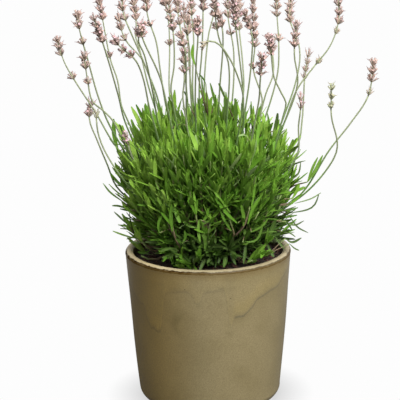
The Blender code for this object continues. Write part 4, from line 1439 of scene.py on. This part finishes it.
def add_shoot(bm, curve, rng, vigour, dullness_and_painted_shade, openness):
    """A stem along the curve with its pairs of leaves; returns how many leaves it got."""
    total = length_of(curve)
    steps = max(5, round(total / 0.014))
    rings = [(total * i / steps, 0.0018 - 0.0008 * i / steps) for i in range(steps + 1)]
    pour(bm, sweep(curve, 5, rings, material_index=1))
    foot = total * rng.uniform(0.26, 0.40)
    bearing = rng.uniform(0, math.tau)
    leaves = 0
    while foot < total - 0.003:
        share = foot / total
        point, direction = point_at(curve, foot)
        up, first, second = cross_axes(direction, 0.24 - 0.16 * max(0.0, openness))
        grown = min(1.0, max(0.0, (share - 0.25) / 0.45))
        for half in (0, 1):
            turn = bearing + math.pi * half + rng.uniform(-0.3, 0.3)
            out = first * math.cos(turn) + second * math.sin(turn)
            length = (0.023 + 0.014 * grown) * rng.uniform(0.75, 1.20) * vigour
            lean = math.radians(56 - 30 * share + 18 * openness + rng.uniform(-18, 18))
            bend = rng.uniform(-36, -6) + (42 if rng.random() < 0.14 else 0)
            drift = math.radians(rng.uniform(-24, 24))
            rows = leaf_rows(point, up, out, length, lean, math.radians(bend), drift)
            if clear_of_pot(rows):
                age_and_painted_shade = min(1.0, max(0.0, 0.95 - 0.72 * share + dullness_and_painted_shade + rng.gauss(0, 0.12)))
                width = (0.0031 + 0.0014 * grown) * rng.uniform(0.75, 1.25) * (0.4 + 0.6 * vigour)
                twist = rng.uniform(-0.7, 0.7)
                down = 0.45 if rng.random() < 0.06 else 0.0
                set_leaf(bm, rows, width, age_and_painted_shade, rng.random(), twist, down)
                leaves += 1
            if rng.random() < 0.50:
                beside = (out + up.cross(out) * rng.choice((-0.8, 0.8))).normalized()
                rows = leaf_rows(point, up, beside, length * rng.uniform(0.35, 0.60), lean * 0.9, -0.3)
                if clear_of_pot(rows):
                    age_and_painted_shade = min(1.0, max(0.0, 0.60 - 0.40 * share + dullness_and_painted_shade))
                    set_leaf(bm, rows, 0.0028, age_and_painted_shade, rng.random())
                    leaves += 1
        bearing += math.pi / 2
        foot += rng.uniform(0.0092, 0.0132)
    point, direction = point_at(curve, total)
    up, first, second = cross_axes(direction, 0.3)
    for i in range(6):
        turn = bearing + math.tau * i / 6 + rng.uniform(-0.3, 0.3)
        out = first * math.cos(turn) + second * math.sin(turn)
        length = rng.uniform(0.022, 0.036) * vigour * (1.0 if i % 2 else 0.68)
        lean = math.radians(rng.uniform(4, 16) + 12 * openness)
        bend = math.radians(rng.uniform(-10, 14))
        rows = leaf_rows(point, up, out, length, lean, bend, math.radians(rng.uniform(-14, 14)))
        if clear_of_pot(rows):
            age_and_painted_shade = min(1.0, max(0.0, 0.10 + dullness_and_painted_shade + rng.gauss(0, 0.10)))
            set_leaf(bm, rows, rng.uniform(0.0032, 0.0048), age_and_painted_shade, rng.random(), rng.uniform(-0.4, 0.4))
            leaves += 1
    return leaves


# %% [markdown]
# ## The lines of the shoots
# The shoots' tips stand on a rounded bush that is widest half-way up, spread by the golden angle.
# An inner layer of shorter shoots fills it, so that no gap looks through, and a skirt of low
# shoots lies over the soil. In two places the skirt is missing, and the soil shows. The shoots
# vary in dullness. The inner and the low shoots are made duller and darker, which is painted
# shade, and shoots on the left, more so low down, are paler, which is painted light.

# %% Shoot lines
BUSH_HALF_WIDTH = 0.101
BUSH_HEIGHT = 0.128
BUSH_BASE_Z = 0.212
BUSH_WIDEST = math.radians(97)
BUSH_SQUARENESS = 0.60
BUSH_WAIST = 0.20
OUTER_SHOOTS = 128
INNER_SHOOTS = 60
SIDE_SHOOTS = 64
SKIRT_SHOOTS = 60
FRONT_SKIRT = 16
# Painted light: shoots further left than the first place are paler, and fully so at the second one and
# beyond.
PAINTED_LIGHT_FROM = -0.028
PAINTED_LIGHT_TO = -0.080
# The bush's top falls away towards the right-hand side.
SLOPE_START = 0.030
SLOPE_TOP = 0.341
SLOPE = 0.55
# Shoots that stand above the rest, by their tips in millimetres.
TALL_TIPS = (
    (-10, -25, 343), (2, -30, 347), (11, -12, 345), (20, -32, 338), (-22, -22, 340), (4, 4, 351),
    (-70, -30, 336), (-43, -36, 338), (-54, -20, 336), (33, -20, 344),
)
# And shoots that hide the feet of the foremost stalks.
COVER_TIPS = (
    (-27, -102, 326), (-36, -100, 312), (-52, -95, 314), (46, -100, 310), (57, -93, 302),
    (38, -99, 319), (-8, -103, 322), (4, -103, 326), (18, -102, 322), (-19, -103, 318),
    (-62, -92, 304), (50, -100, 318), (28, -102, 316), (-44, -100, 322),
)
FRONT_SHOOTS = 46
FRONT_REACH = 0.097
# Dark hollows in the front of the bush, where no shoot ends: (sideways, height, radius).
HOLLOWS = (
    (-0.004, 0.268, 0.015), (0.012, 0.246, 0.010), (-0.012, 0.226, 0.010), (0.046, 0.222, 0.010),
)


def signed_power(value, power):
    return math.copysign(abs(value)**power, value)


def bush_tip(polar, azimuth, size):
    """Where a shoot's tip stands on the bush: at its top at a polar angle of 0."""
    low = max(0.0, (polar - math.radians(76)) / (BUSH_WIDEST - math.radians(76)))
    reach = BUSH_HALF_WIDTH * size * math.sin(polar)**BUSH_SQUARENESS * (1 - BUSH_WAIST * low)
    lift = BUSH_HEIGHT * size * signed_power(math.cos(polar), BUSH_SQUARENESS)
    return Vector((reach * math.cos(azimuth), reach * math.sin(azimuth), BUSH_BASE_Z + lift))


def shoot_line(polar, azimuth, size, rng):
    """The line of a shoot: out of the crown, bowed outwards, then up to its tip."""
    share = polar / BUSH_WIDEST
    base, normal = crown_point(0.040 * share**0.8, azimuth)
    swing = 0.10 + 0.32 * share**3
    tip = bush_tip(polar, azimuth + rng.uniform(-swing, swing), size)
    tip.z = min(tip.z, SLOPE_TOP - SLOPE * max(0.0, tip.x - SLOPE_START))
    outward = Vector((math.cos(azimuth), math.sin(azimuth), 0.0))
    bow = base.lerp(tip, 0.5) + outward * (0.012 * share) - UP * 0.006 * share
    return smooth_curve([base - normal * 0.001, bow, tip], normal, CURVE_STEPS)


def line_to(tip):
    """The line of a shoot to a tip that is given."""
    azimuth = math.atan2(tip.y, tip.x)
    base, normal = crown_point(0.036, azimuth)
    bow = base.lerp(tip, 0.5) + Vector((math.cos(azimuth), math.sin(azimuth), 0.0)) * 0.008
    return smooth_curve([base - normal * 0.001, bow, tip], normal, CURVE_STEPS)


def skirt_line(azimuth, rng):
    """The line of a low shoot, from the crown's edge out over the soil."""
    base, normal = crown_point(0.041, azimuth)
    outward = Vector((math.cos(azimuth), math.sin(azimuth), 0.0))
    aside = Vector((-outward.y, outward.x, 0.0)) * rng.uniform(-0.022, 0.022)
    tip = outward * rng.uniform(0.056, 0.078) + aside + UP * rng.uniform(0.195, 0.216)
    bow = base.lerp(tip, 0.55) + UP * 0.003
    return smooth_curve([base - normal * 0.001, bow, tip], normal, CURVE_STEPS)


def in_hollow(tip):
    return tip.y < 0 and any(math.hypot(tip.x - x, tip.z - z) < radius for x, z, radius in HOLLOWS)


def painted_light_on_left(tip):
    """How much painted light makes a shoot paler for standing to the left, and more so low down."""
    left = min(1.0, max(0.0, (tip.x - PAINTED_LIGHT_FROM) / (PAINTED_LIGHT_TO - PAINTED_LIGHT_FROM)))
    low = min(1.0, max(0.0, (0.240 - tip.z) / 0.030))
    return left * (0.38 + 0.60 * low)


def bush_lines():
    """(line, vigour, dullness with painted shade and light, openness) for every shoot."""
    rng = random.Random(77)
    shades = random.Random(31)
    lines = []
    for count, size in ((OUTER_SHOOTS, 1.0), (INNER_SHOOTS, 0.72)):
        for i in range(count):
            polar = math.acos(1 - (i + 0.5) / count * (1 - math.cos(BUSH_WIDEST)))
            azimuth = i * GOLDEN_ANGLE + (1.1 if size < 1 else 0.0)
            low_down = max(0.0, math.degrees(polar) - 60) / 37
            line = shoot_line(polar, azimuth, size * rng.uniform(0.88, 1.06), rng)
            # Painted shade: low shoots, and all of the inner layer, are made duller and so darker.
            dullness_and_painted_shade = 0.34 * low_down + (0.42 if size < 1 else shades.uniform(-0.10, 0.20))
            vigour = (1.0 - 0.16 * low_down) * rng.uniform(0.84, 1.14)
            openness = rng.uniform(-0.5, 0.8) + 0.5 * low_down
            if size < 1 or not in_hollow(line[-1]):
                lines.append((line, vigour, dullness_and_painted_shade, openness))
    for i in range(SIDE_SHOOTS):
        polar = math.radians(58 + 39 * (i + 0.5) / SIDE_SHOOTS)
        line = shoot_line(polar, i * GOLDEN_ANGLE + 2.0, rng.uniform(0.80, 0.98), rng)
        vigour = rng.uniform(0.64, 0.84)
        dullness_and_painted_shade = rng.uniform(0.10, 0.55)
        openness = rng.uniform(0.6, 1.4)
        if not in_hollow(line[-1]):
            lines.append((line, vigour, dullness_and_painted_shade, openness))
    for tip in TALL_TIPS:
        lines.append((line_to(Vector(tip) / 1000), rng.uniform(0.85, 1.0), 0.05, rng.uniform(-0.6, 0.0)))
    for i in range(FRONT_SHOOTS):
        x = 0.082 * (2 * (i * 0.618 % 1.0) - 1)
        y = -math.sqrt(FRONT_REACH**2 - x * x) * rng.uniform(0.86, 1.02)
        tip = Vector((x, y, 0.262 + 0.067 * (i + 0.5) / FRONT_SHOOTS - 0.20 * abs(x)))
        if not in_hollow(tip):
            vigour = rng.uniform(0.78, 0.98)
            dullness_and_painted_shade = rng.uniform(0.0, 0.3)
            lines.append((line_to(tip), vigour, dullness_and_painted_shade, rng.uniform(-0.3, 0.9)))
    # Painted shade: the skirt's shoots are given high dullness, so they lie dark over the soil.
    for i in range(SKIRT_SHOOTS):
        azimuth = math.tau * (i + rng.uniform(-0.3, 0.3)) / SKIRT_SHOOTS - math.pi
        line = skirt_line(azimuth, rng)
        if not any(a < math.degrees(azimuth) < b for a, b in BARE_BEARINGS):
            lines.append((line, rng.uniform(0.80, 1.05), rng.uniform(0.68, 0.98), 1.0))
    for i in range(FRONT_SKIRT):
        azimuth = math.radians(-140 + 100 * (i + 0.5) / FRONT_SKIRT)
        lines.append((skirt_line(azimuth, rng), rng.uniform(0.80, 1.00), rng.uniform(0.70, 1.00), 1.0))
    for tip in COVER_TIPS:
        lines.append((line_to(Vector(tip) / 1000), rng.uniform(0.85, 1.0), 0.10, rng.uniform(-0.4, 0.3)))
    # Painted light: shoots on the left are made paler by lowering their dullness.
    return [
        (line, vigour, dullness_and_painted_shade - painted_light_on_left(line[-1]), openness)
        for line, vigour, dullness_and_painted_shade, openness in lines
    ]


# %% [markdown]
# ## Leaves that stand out
# A bush is known by the leaves that break its outline or lie across its face, so these are placed
# one by one. Each row gives a leaf's foot, middle and tip as (sideways, height), how far back its
# foot and tip are, all in millimetres, then its width, its age and how downy it is.

# %% Placed leaves
PLACED_LEAVES = (
    # curled ones at the right-hand side
    ((97, 235), (124, 242), (133, 261), -30, -30, 2.3, 0.95, 0.10),
    ((103, 247), (123, 252), (137, 260), -30, -25, 1.9, 0.80, 0.40),
    ((97, 232), (106, 219), (119, 212), -30, -35, 2.2, 0.95, 0.10),
    ((89, 227), (102, 221), (114, 227), -30, -35, 2.4, 0.90, 0.15),
    ((92, 204), (100, 200), (111, 206), -30, -35, 3.4, 1.00, 0.20),
    ((97, 198), (103, 193), (109, 191), -32, -38, 2.0, 0.95, 0.15),
    ((93, 226), (97, 221), (100, 216), -35, -38, 2.2, 0.95, 0.00),
    ((90, 212), (98, 211), (104, 207), -30, -35, 2.0, 0.90, 0.20),
    ((98, 272), (108, 281), (111, 295), -20, -20, 2.4, 0.90, 0.20),
    ((95, 266), (99, 277), (104, 288), -30, -30, 3.2, 0.70, 0.00),
    ((100, 254), (105, 263), (109, 273), -35, -35, 4.2, 0.20, 0.00),
    ((97, 246), (104, 253), (112, 259), -35, -35, 3.6, 0.35, 0.00),
    ((91, 288), (98, 304), (104, 321), 0, 0, 4.2, 0.60, 0.00),
    # and at the left-hand side
    ((-100, 252), (-115, 264), (-123, 275), -30, -30, 2.6, 0.75, 0.10),
    ((-93, 244), (-105, 249), (-114, 250), -35, -40, 2.8, 0.80, 0.00),
    ((-94, 223), (-105, 234), (-111, 240), -30, -30, 2.6, 0.80, 0.10),
    ((-80, 201), (-88, 203), (-94, 204), -30, -35, 2.2, 0.80, 0.30),
    ((-84, 206), (-90, 211), (-95, 215), -30, -30, 2.4, 0.90, 0.00),
    ((-89, 232), (-95, 235), (-100, 237), -40, -42, 2.4, 0.85, 0.00),
    ((-96, 268), (-103, 274), (-109, 278), -30, -30, 3.2, 0.80, 0.00),
    # broad ones at the feet of the flower stalks
    ((-106, 306), (-110, 328), (-110, 346), 0, 0, 6.2, 0.55, 0.00),
    ((-81, 314), (-85, 331), (-90, 348), 0, 0, 4.4, 0.60, 0.00),
    ((-96, 330), (-99, 338), (-102, 347), -30, -30, 2.6, 0.90, 0.00),
    ((-67, 322), (-74, 343), (-83, 363), 0, 0, 5.2, 0.50, 0.00),
    ((-59, 316), (-64, 343), (-72, 366), -10, -10, 6.4, 0.35, 0.15),
    ((-52, 334), (-54, 352), (-57, 369), 0, 0, 4.2, 0.45, 0.00),
    ((-39, 334), (-43, 353), (-44, 369), 0, 0, 4.4, 0.60, 0.30),
    ((-29, 340), (-34, 350), (-39, 358), 0, 0, 2.6, 0.70, 0.20),
    ((23, 338), (23, 354), (22, 371), 10, 10, 4.6, 0.75, 0.00),
    ((37, 342), (36, 356), (34, 369), 10, 10, 4.4, 0.60, 0.00),
    ((56, 334), (60, 346), (65, 357), 10, 10, 4.4, 0.60, 0.00),
    ((73, 316), (75, 332), (73, 348), 10, 10, 3.4, 0.60, 0.00),
    ((82, 310), (82, 331), (85, 349), 0, 0, 5.4, 0.80, 0.10),
    # the fan in front, right of the middle
    ((26, 254), (14, 271), (5, 285), -93, -98, 3.6, 0.54, 0.00),
    ((34, 241), (20, 256), (9, 272), -93, -98, 4.4, 0.57, 0.00),
    ((46, 240), (52, 259), (63, 276), -92, -95, 4.2, 0.54, 0.00),
    ((50, 258), (53, 276), (55, 291), -94, -96, 3.2, 0.49, 0.00),
    ((41, 238), (41, 252), (38, 266), -94, -97, 4.6, 0.57, 0.00),
    ((27, 232), (20, 244), (14, 258), -93, -96, 3.2, 0.67, 0.00),
    ((33, 268), (35, 292), (36, 319), -88, -84, 5.0, 0.57, 0.00),
    ((45, 290), (47, 309), (49, 328), -82, -78, 4.6, 0.57, 0.00),
    ((53, 312), (58, 332), (61, 354), -70, -60, 4.6, 0.49, 0.00),
    ((24, 268), (20, 290), (12, 312), -90, -86, 4.4, 0.54, 0.00),
    ((24, 272), (24, 292), (22, 318), -90, -86, 4.6, 0.52, 0.00),
    ((36, 301), (29, 309), (20, 309), -96, -100, 3.0, 0.62, 0.60),
    ((46, 341), (42, 344), (36, 343), -86, -90, 2.4, 0.62, 0.60),
    ((50, 229), (62, 236), (70, 246), -88, -90, 3.0, 0.67, 0.00),
    ((40, 217), (56, 220), (64, 240), -88, -90, 3.0, 0.72, 0.00),
    # the bright tuft and its shoot, left of the middle
    ((-14, 253), (-20, 268), (-24, 286), -92, -94, 3.4, 0.47, 0.00),
    ((-14, 254), (-18, 272), (-20, 291), -93, -92, 3.4, 0.49, 0.00),
    ((-14, 253), (-18, 263), (-23, 270), -94, -96, 3.4, 0.42, 0.00),
    ((-13, 254), (-14, 267), (-16, 280), -95, -96, 3.4, 0.45, 0.00),
    ((-13, 252), (-12, 262), (-11, 272), -94, -97, 2.8, 0.47, 0.00),
    ((-10, 246), (-11, 232), (-9, 219), -93, -92, 4.2, 0.65, 0.00),
    ((-8, 240), (-1, 250), (1, 261), -90, -92, 4.0, 0.57, 0.00),
    ((-8, 238), (-1, 243), (4, 246), -90, -93, 2.8, 0.65, 0.00),
    ((-14, 236), (-21, 238), (-28, 243), -90, -92, 3.0, 0.67, 0.00),
    ((-4, 209), (-3, 221), (-8, 231), -86, -88, 5.6, 0.72, 0.00),
    # the brown twig at the left and its leaves
    ((-41, 232), (-42, 249), (-41, 265), -90, -93, 5.2, 0.62, 0.00),
    ((-40, 262), (-36, 253), (-31, 241), -91, -95, 5.0, 0.65, 0.00),
    ((-56, 229), (-57, 240), (-51, 253), -86, -88, 3.8, 0.67, 0.00),
    ((-43, 240), (-47, 247), (-53, 255), -90, -92, 3.8, 0.52, 0.00),
    ((-36, 205), (-45, 197), (-54, 195), -76, -72, 5.4, 0.82, 0.00),
    ((-38, 207), (-48, 206), (-57, 202), -76, -72, 4.2, 0.79, 0.00),
    ((-30, 216), (-26, 224), (-27, 232), -86, -88, 3.6, 0.72, 0.00),
    ((-60, 292), (-52, 272), (-40, 258), -86, -92, 2.8, 0.62, 0.00),
    ((-55, 330), (-44, 296), (-34, 262), -78, -88, 2.6, 0.62, 0.00),
    # leaves among the stalks above the bush, and a pair on the right-hand stem
    ((-12, 418), (-15, 430), (-14, 442), -50, -50, 4.2, 0.30, 0.00),
    ((0, 396), (-3, 402), (-8, 408), -50, -50, 2.2, 0.80, 0.00),
    ((24, 370), (19, 383), (14, 395), -30, -32, 3.2, 0.85, 0.00),
    ((35, 346), (34, 360), (34, 375), -34, -34, 4.4, 0.80, 0.00),
    ((82, 334), (83, 346), (84, 356), -20, -20, 4.2, 0.95, 0.05),
    ((10, 368), (8, 381), (5, 394), -34, -34, 3.2, 0.75, 0.00),
    ((-2, 375), (-4, 388), (-5, 400), -30, -30, 2.6, 0.80, 0.20),
    ((22, 343), (22, 360), (24, 375), -36, -36, 4.6, 0.85, 0.05),
    ((44, 341), (43, 357), (41, 371), -30, -30, 3.4, 0.80, 0.10),
    ((-28, 346), (-34, 356), (-39, 365), -36, -38, 3.0, 0.80, 0.00),
    ((-21, 373), (-23, 381), (-27, 388), -40, -40, 2.2, 0.90, 0.00),
    ((-43, 346), (-44, 360), (-44, 374), -36, -36, 3.6, 0.75, 0.05),
    ((-50, 346), (-53, 360), (-56, 374), -34, -34, 3.2, 0.75, 0.05),
    ((-66, 329), (-69, 351), (-72, 372), -30, -30, 4.2, 0.55, 0.00),
    ((-63, 331), (-66, 353), (-68, 374), -26, -26, 4.0, 0.50, 0.00),
    ((-61, 329), (-60, 348), (-62, 365), -34, -34, 4.0, 0.45, 0.00),
    ((-70, 329), (-73, 346), (-74, 364), -30, -30, 3.8, 0.75, 0.00),
    ((120, 266), (129, 280), (138, 299), -2, -4, 4.6, 0.30, 0.15),
    ((120, 267), (126, 284), (132, 297), -4, -6, 3.8, 0.35, 0.10),
    # dark ones hanging over the soil; their darkness, age 1.0, is painted shade
    ((44, 212), (43, 200), (41, 188), -66, -78, 4.4, 1.00, 0.00),
    ((70, 203), (74, 194), (78, 188), -50, -56, 4.4, 1.00, 0.00),
    ((-20, 206), (-18, 196), (-16, 187), -64, -78, 4.4, 1.00, 0.00),
    ((-9, 201), (-2, 194), (6, 187), -64, -78, 5.6, 1.00, 0.00),
    ((27, 204), (28, 195), (32, 187), -66, -78, 4.4, 1.00, 0.00),
    ((13, 206), (14, 196), (11, 187), -66, -78, 4.2, 1.00, 0.00),
    ((-70, 190), (-77, 188), (-84, 190), -26, -30, 4.4, 0.77, 0.00),
    ((80, 206), (86, 198), (91, 192), -30, -34, 3.6, 0.90, 0.00),
)
# Bare twigs at the front: three places each, as (sideways, height, back) in millimetres.
TWIGS = (
    ((-8, 200, -66), (-10, 226, -84), (-14, 254, -92)),
    ((20, 196, -62), (30, 224, -84), (24, 248, -92)),
    ((30, 222, -84), (42, 238, -90), (49, 262, -92)),
    ((-24, 194, -60), (-36, 216, -82), (-43, 250, -91)),
)


def placed_rows(foot, middle, tip, foot_depth, tip_depth):
    """The rows of a leaf through three places, with its face towards the front and up."""
    depths = (foot_depth, (foot_depth + tip_depth) / 2, tip_depth)
    knots = [Vector((x, y, z)) / 1000 for (x, z), y in zip((foot, middle, tip), depths)]
    curve = smooth_curve(knots, (knots[1] - knots[0]).normalized(), 6)
    total = length_of(curve)
    rows = []
    for row in range(LONG_LEAF_ROWS + 1):
        point, along = point_at(curve, total * row / LONG_LEAF_ROWS)
        side = along.cross(Vector((0.0, -1.0, 0.25))).normalized()
        rows.append((point, side.cross(along), side))
    return rows


# %% [markdown]
# ## The bush
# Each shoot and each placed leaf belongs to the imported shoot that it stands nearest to, and one
# piece holds all that belongs to one packed shoot. A placed leaf gets a thin twig of its own, so
# that it doesn't hang in the air.

# %% Bush pieces
packed_shoots = sorted(name for name in frame["nodes"] if name.startswith("leafy_shoot"))
middles = {}
for name in packed_shoots:
    low, high = (Vector(corner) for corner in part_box(name))
    middles[name] = (low + high) / 2


def nearest_shoot(point):
    return min(packed_shoots, key=lambda name: (middles[name] - point).length)


# The placed leaves come out a little narrower, older and less downy than their rows say.
PLACED_WIDTH = 0.85
PLACED_AGE = 0.05
PLACED_DOWN = 0.8
# The radius of a placed leaf's twig at its foot, and how much thinner it is at the leaf.
TWIG_FOOT = 0.0009
TWIG_TAPER = 0.0003

shoots_of = {name: [] for name in packed_shoots}
all_shoots = bush_lines()
bearing_points = [point for shoot in all_shoots for point in shoot[0]]


def leaf_stalk(foot):
    """The line of a thin twig that joins a placed leaf's foot to the nearest shoot, from below
    where there is one."""
    start = min(bearing_points, key=lambda p: (p - foot).length + 3 * max(0.0, p.z - foot.z))
    if (foot - start).length < 0.0005:
        return None
    direction = ((foot - start).normalized() + UP * 0.4).normalized()
    return smooth_curve([start, foot], direction, CURVE_STEPS)


for shoot in all_shoots:
    line = shoot[0]
    shoots_of[nearest_shoot(point_at(line, length_of(line) * 0.75)[0])].append(shoot)

placed_of = {name: [] for name in packed_shoots}
for foot, middle, tip, foot_depth, tip_depth, *look in PLACED_LEAVES:
    rows = placed_rows(foot, middle, tip, foot_depth, tip_depth)
    placed_of[nearest_shoot(rows[0][0])].append((rows, look))

twigs_of = {name: [] for name in packed_shoots}
for knots in TWIGS:
    points = [Vector((x, y, z)) / 1000 for x, z, y in knots]
    twigs_of[nearest_shoot(points[1])].append(points)

total_leaves = 0
for name in packed_shoots:
    rng = random.Random(name)
    bm = bmesh.new()
    shoot_layers(bm)
    for line, vigour, dullness_and_painted_shade, openness in shoots_of[name]:
        total_leaves += add_shoot(bm, line, rng, vigour, dullness_and_painted_shade, openness)
    for rows, (width, age_and_painted_shade, down) in placed_of[name]:
        tint = rng.random()
        twist = rng.uniform(-0.4, 0.4)
        width = PLACED_WIDTH * width / 1000
        set_leaf(bm, rows, width, age_and_painted_shade + PLACED_AGE, tint, twist, PLACED_DOWN * down)
        total_leaves += 1
        curve = leaf_stalk(rows[0][0])
        if curve:
            total = length_of(curve)
            rings = [(total * i / 4, TWIG_FOOT - TWIG_TAPER * i / 4) for i in range(5)]
            pour(bm, sweep(curve, 5, rings, material_index=1))
    for points in twigs_of[name]:
        curve = smooth_curve(points, (points[1] - points[0]).normalized(), CURVE_STEPS)
        total = length_of(curve)
        rings = [(total * i / 8, 0.0014 - 0.0005 * i / 8) for i in range(9)]
        pour(bm, sweep(curve, 5, rings, material_index=1))
    add_piece(name + "_leaves", bm, [leaf_green, shoot_bark], name, slot="lavender_leaf")
print("leaves:", total_leaves)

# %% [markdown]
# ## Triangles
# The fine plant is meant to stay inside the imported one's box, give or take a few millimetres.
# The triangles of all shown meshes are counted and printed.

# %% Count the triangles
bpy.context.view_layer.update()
triangles = sum(
    sum(len(face.vertices) - 2 for face in obj.data.polygons)
    for obj in bpy.data.objects if obj.type == "MESH" and not obj.hide_render
)
print("triangles:", triangles)
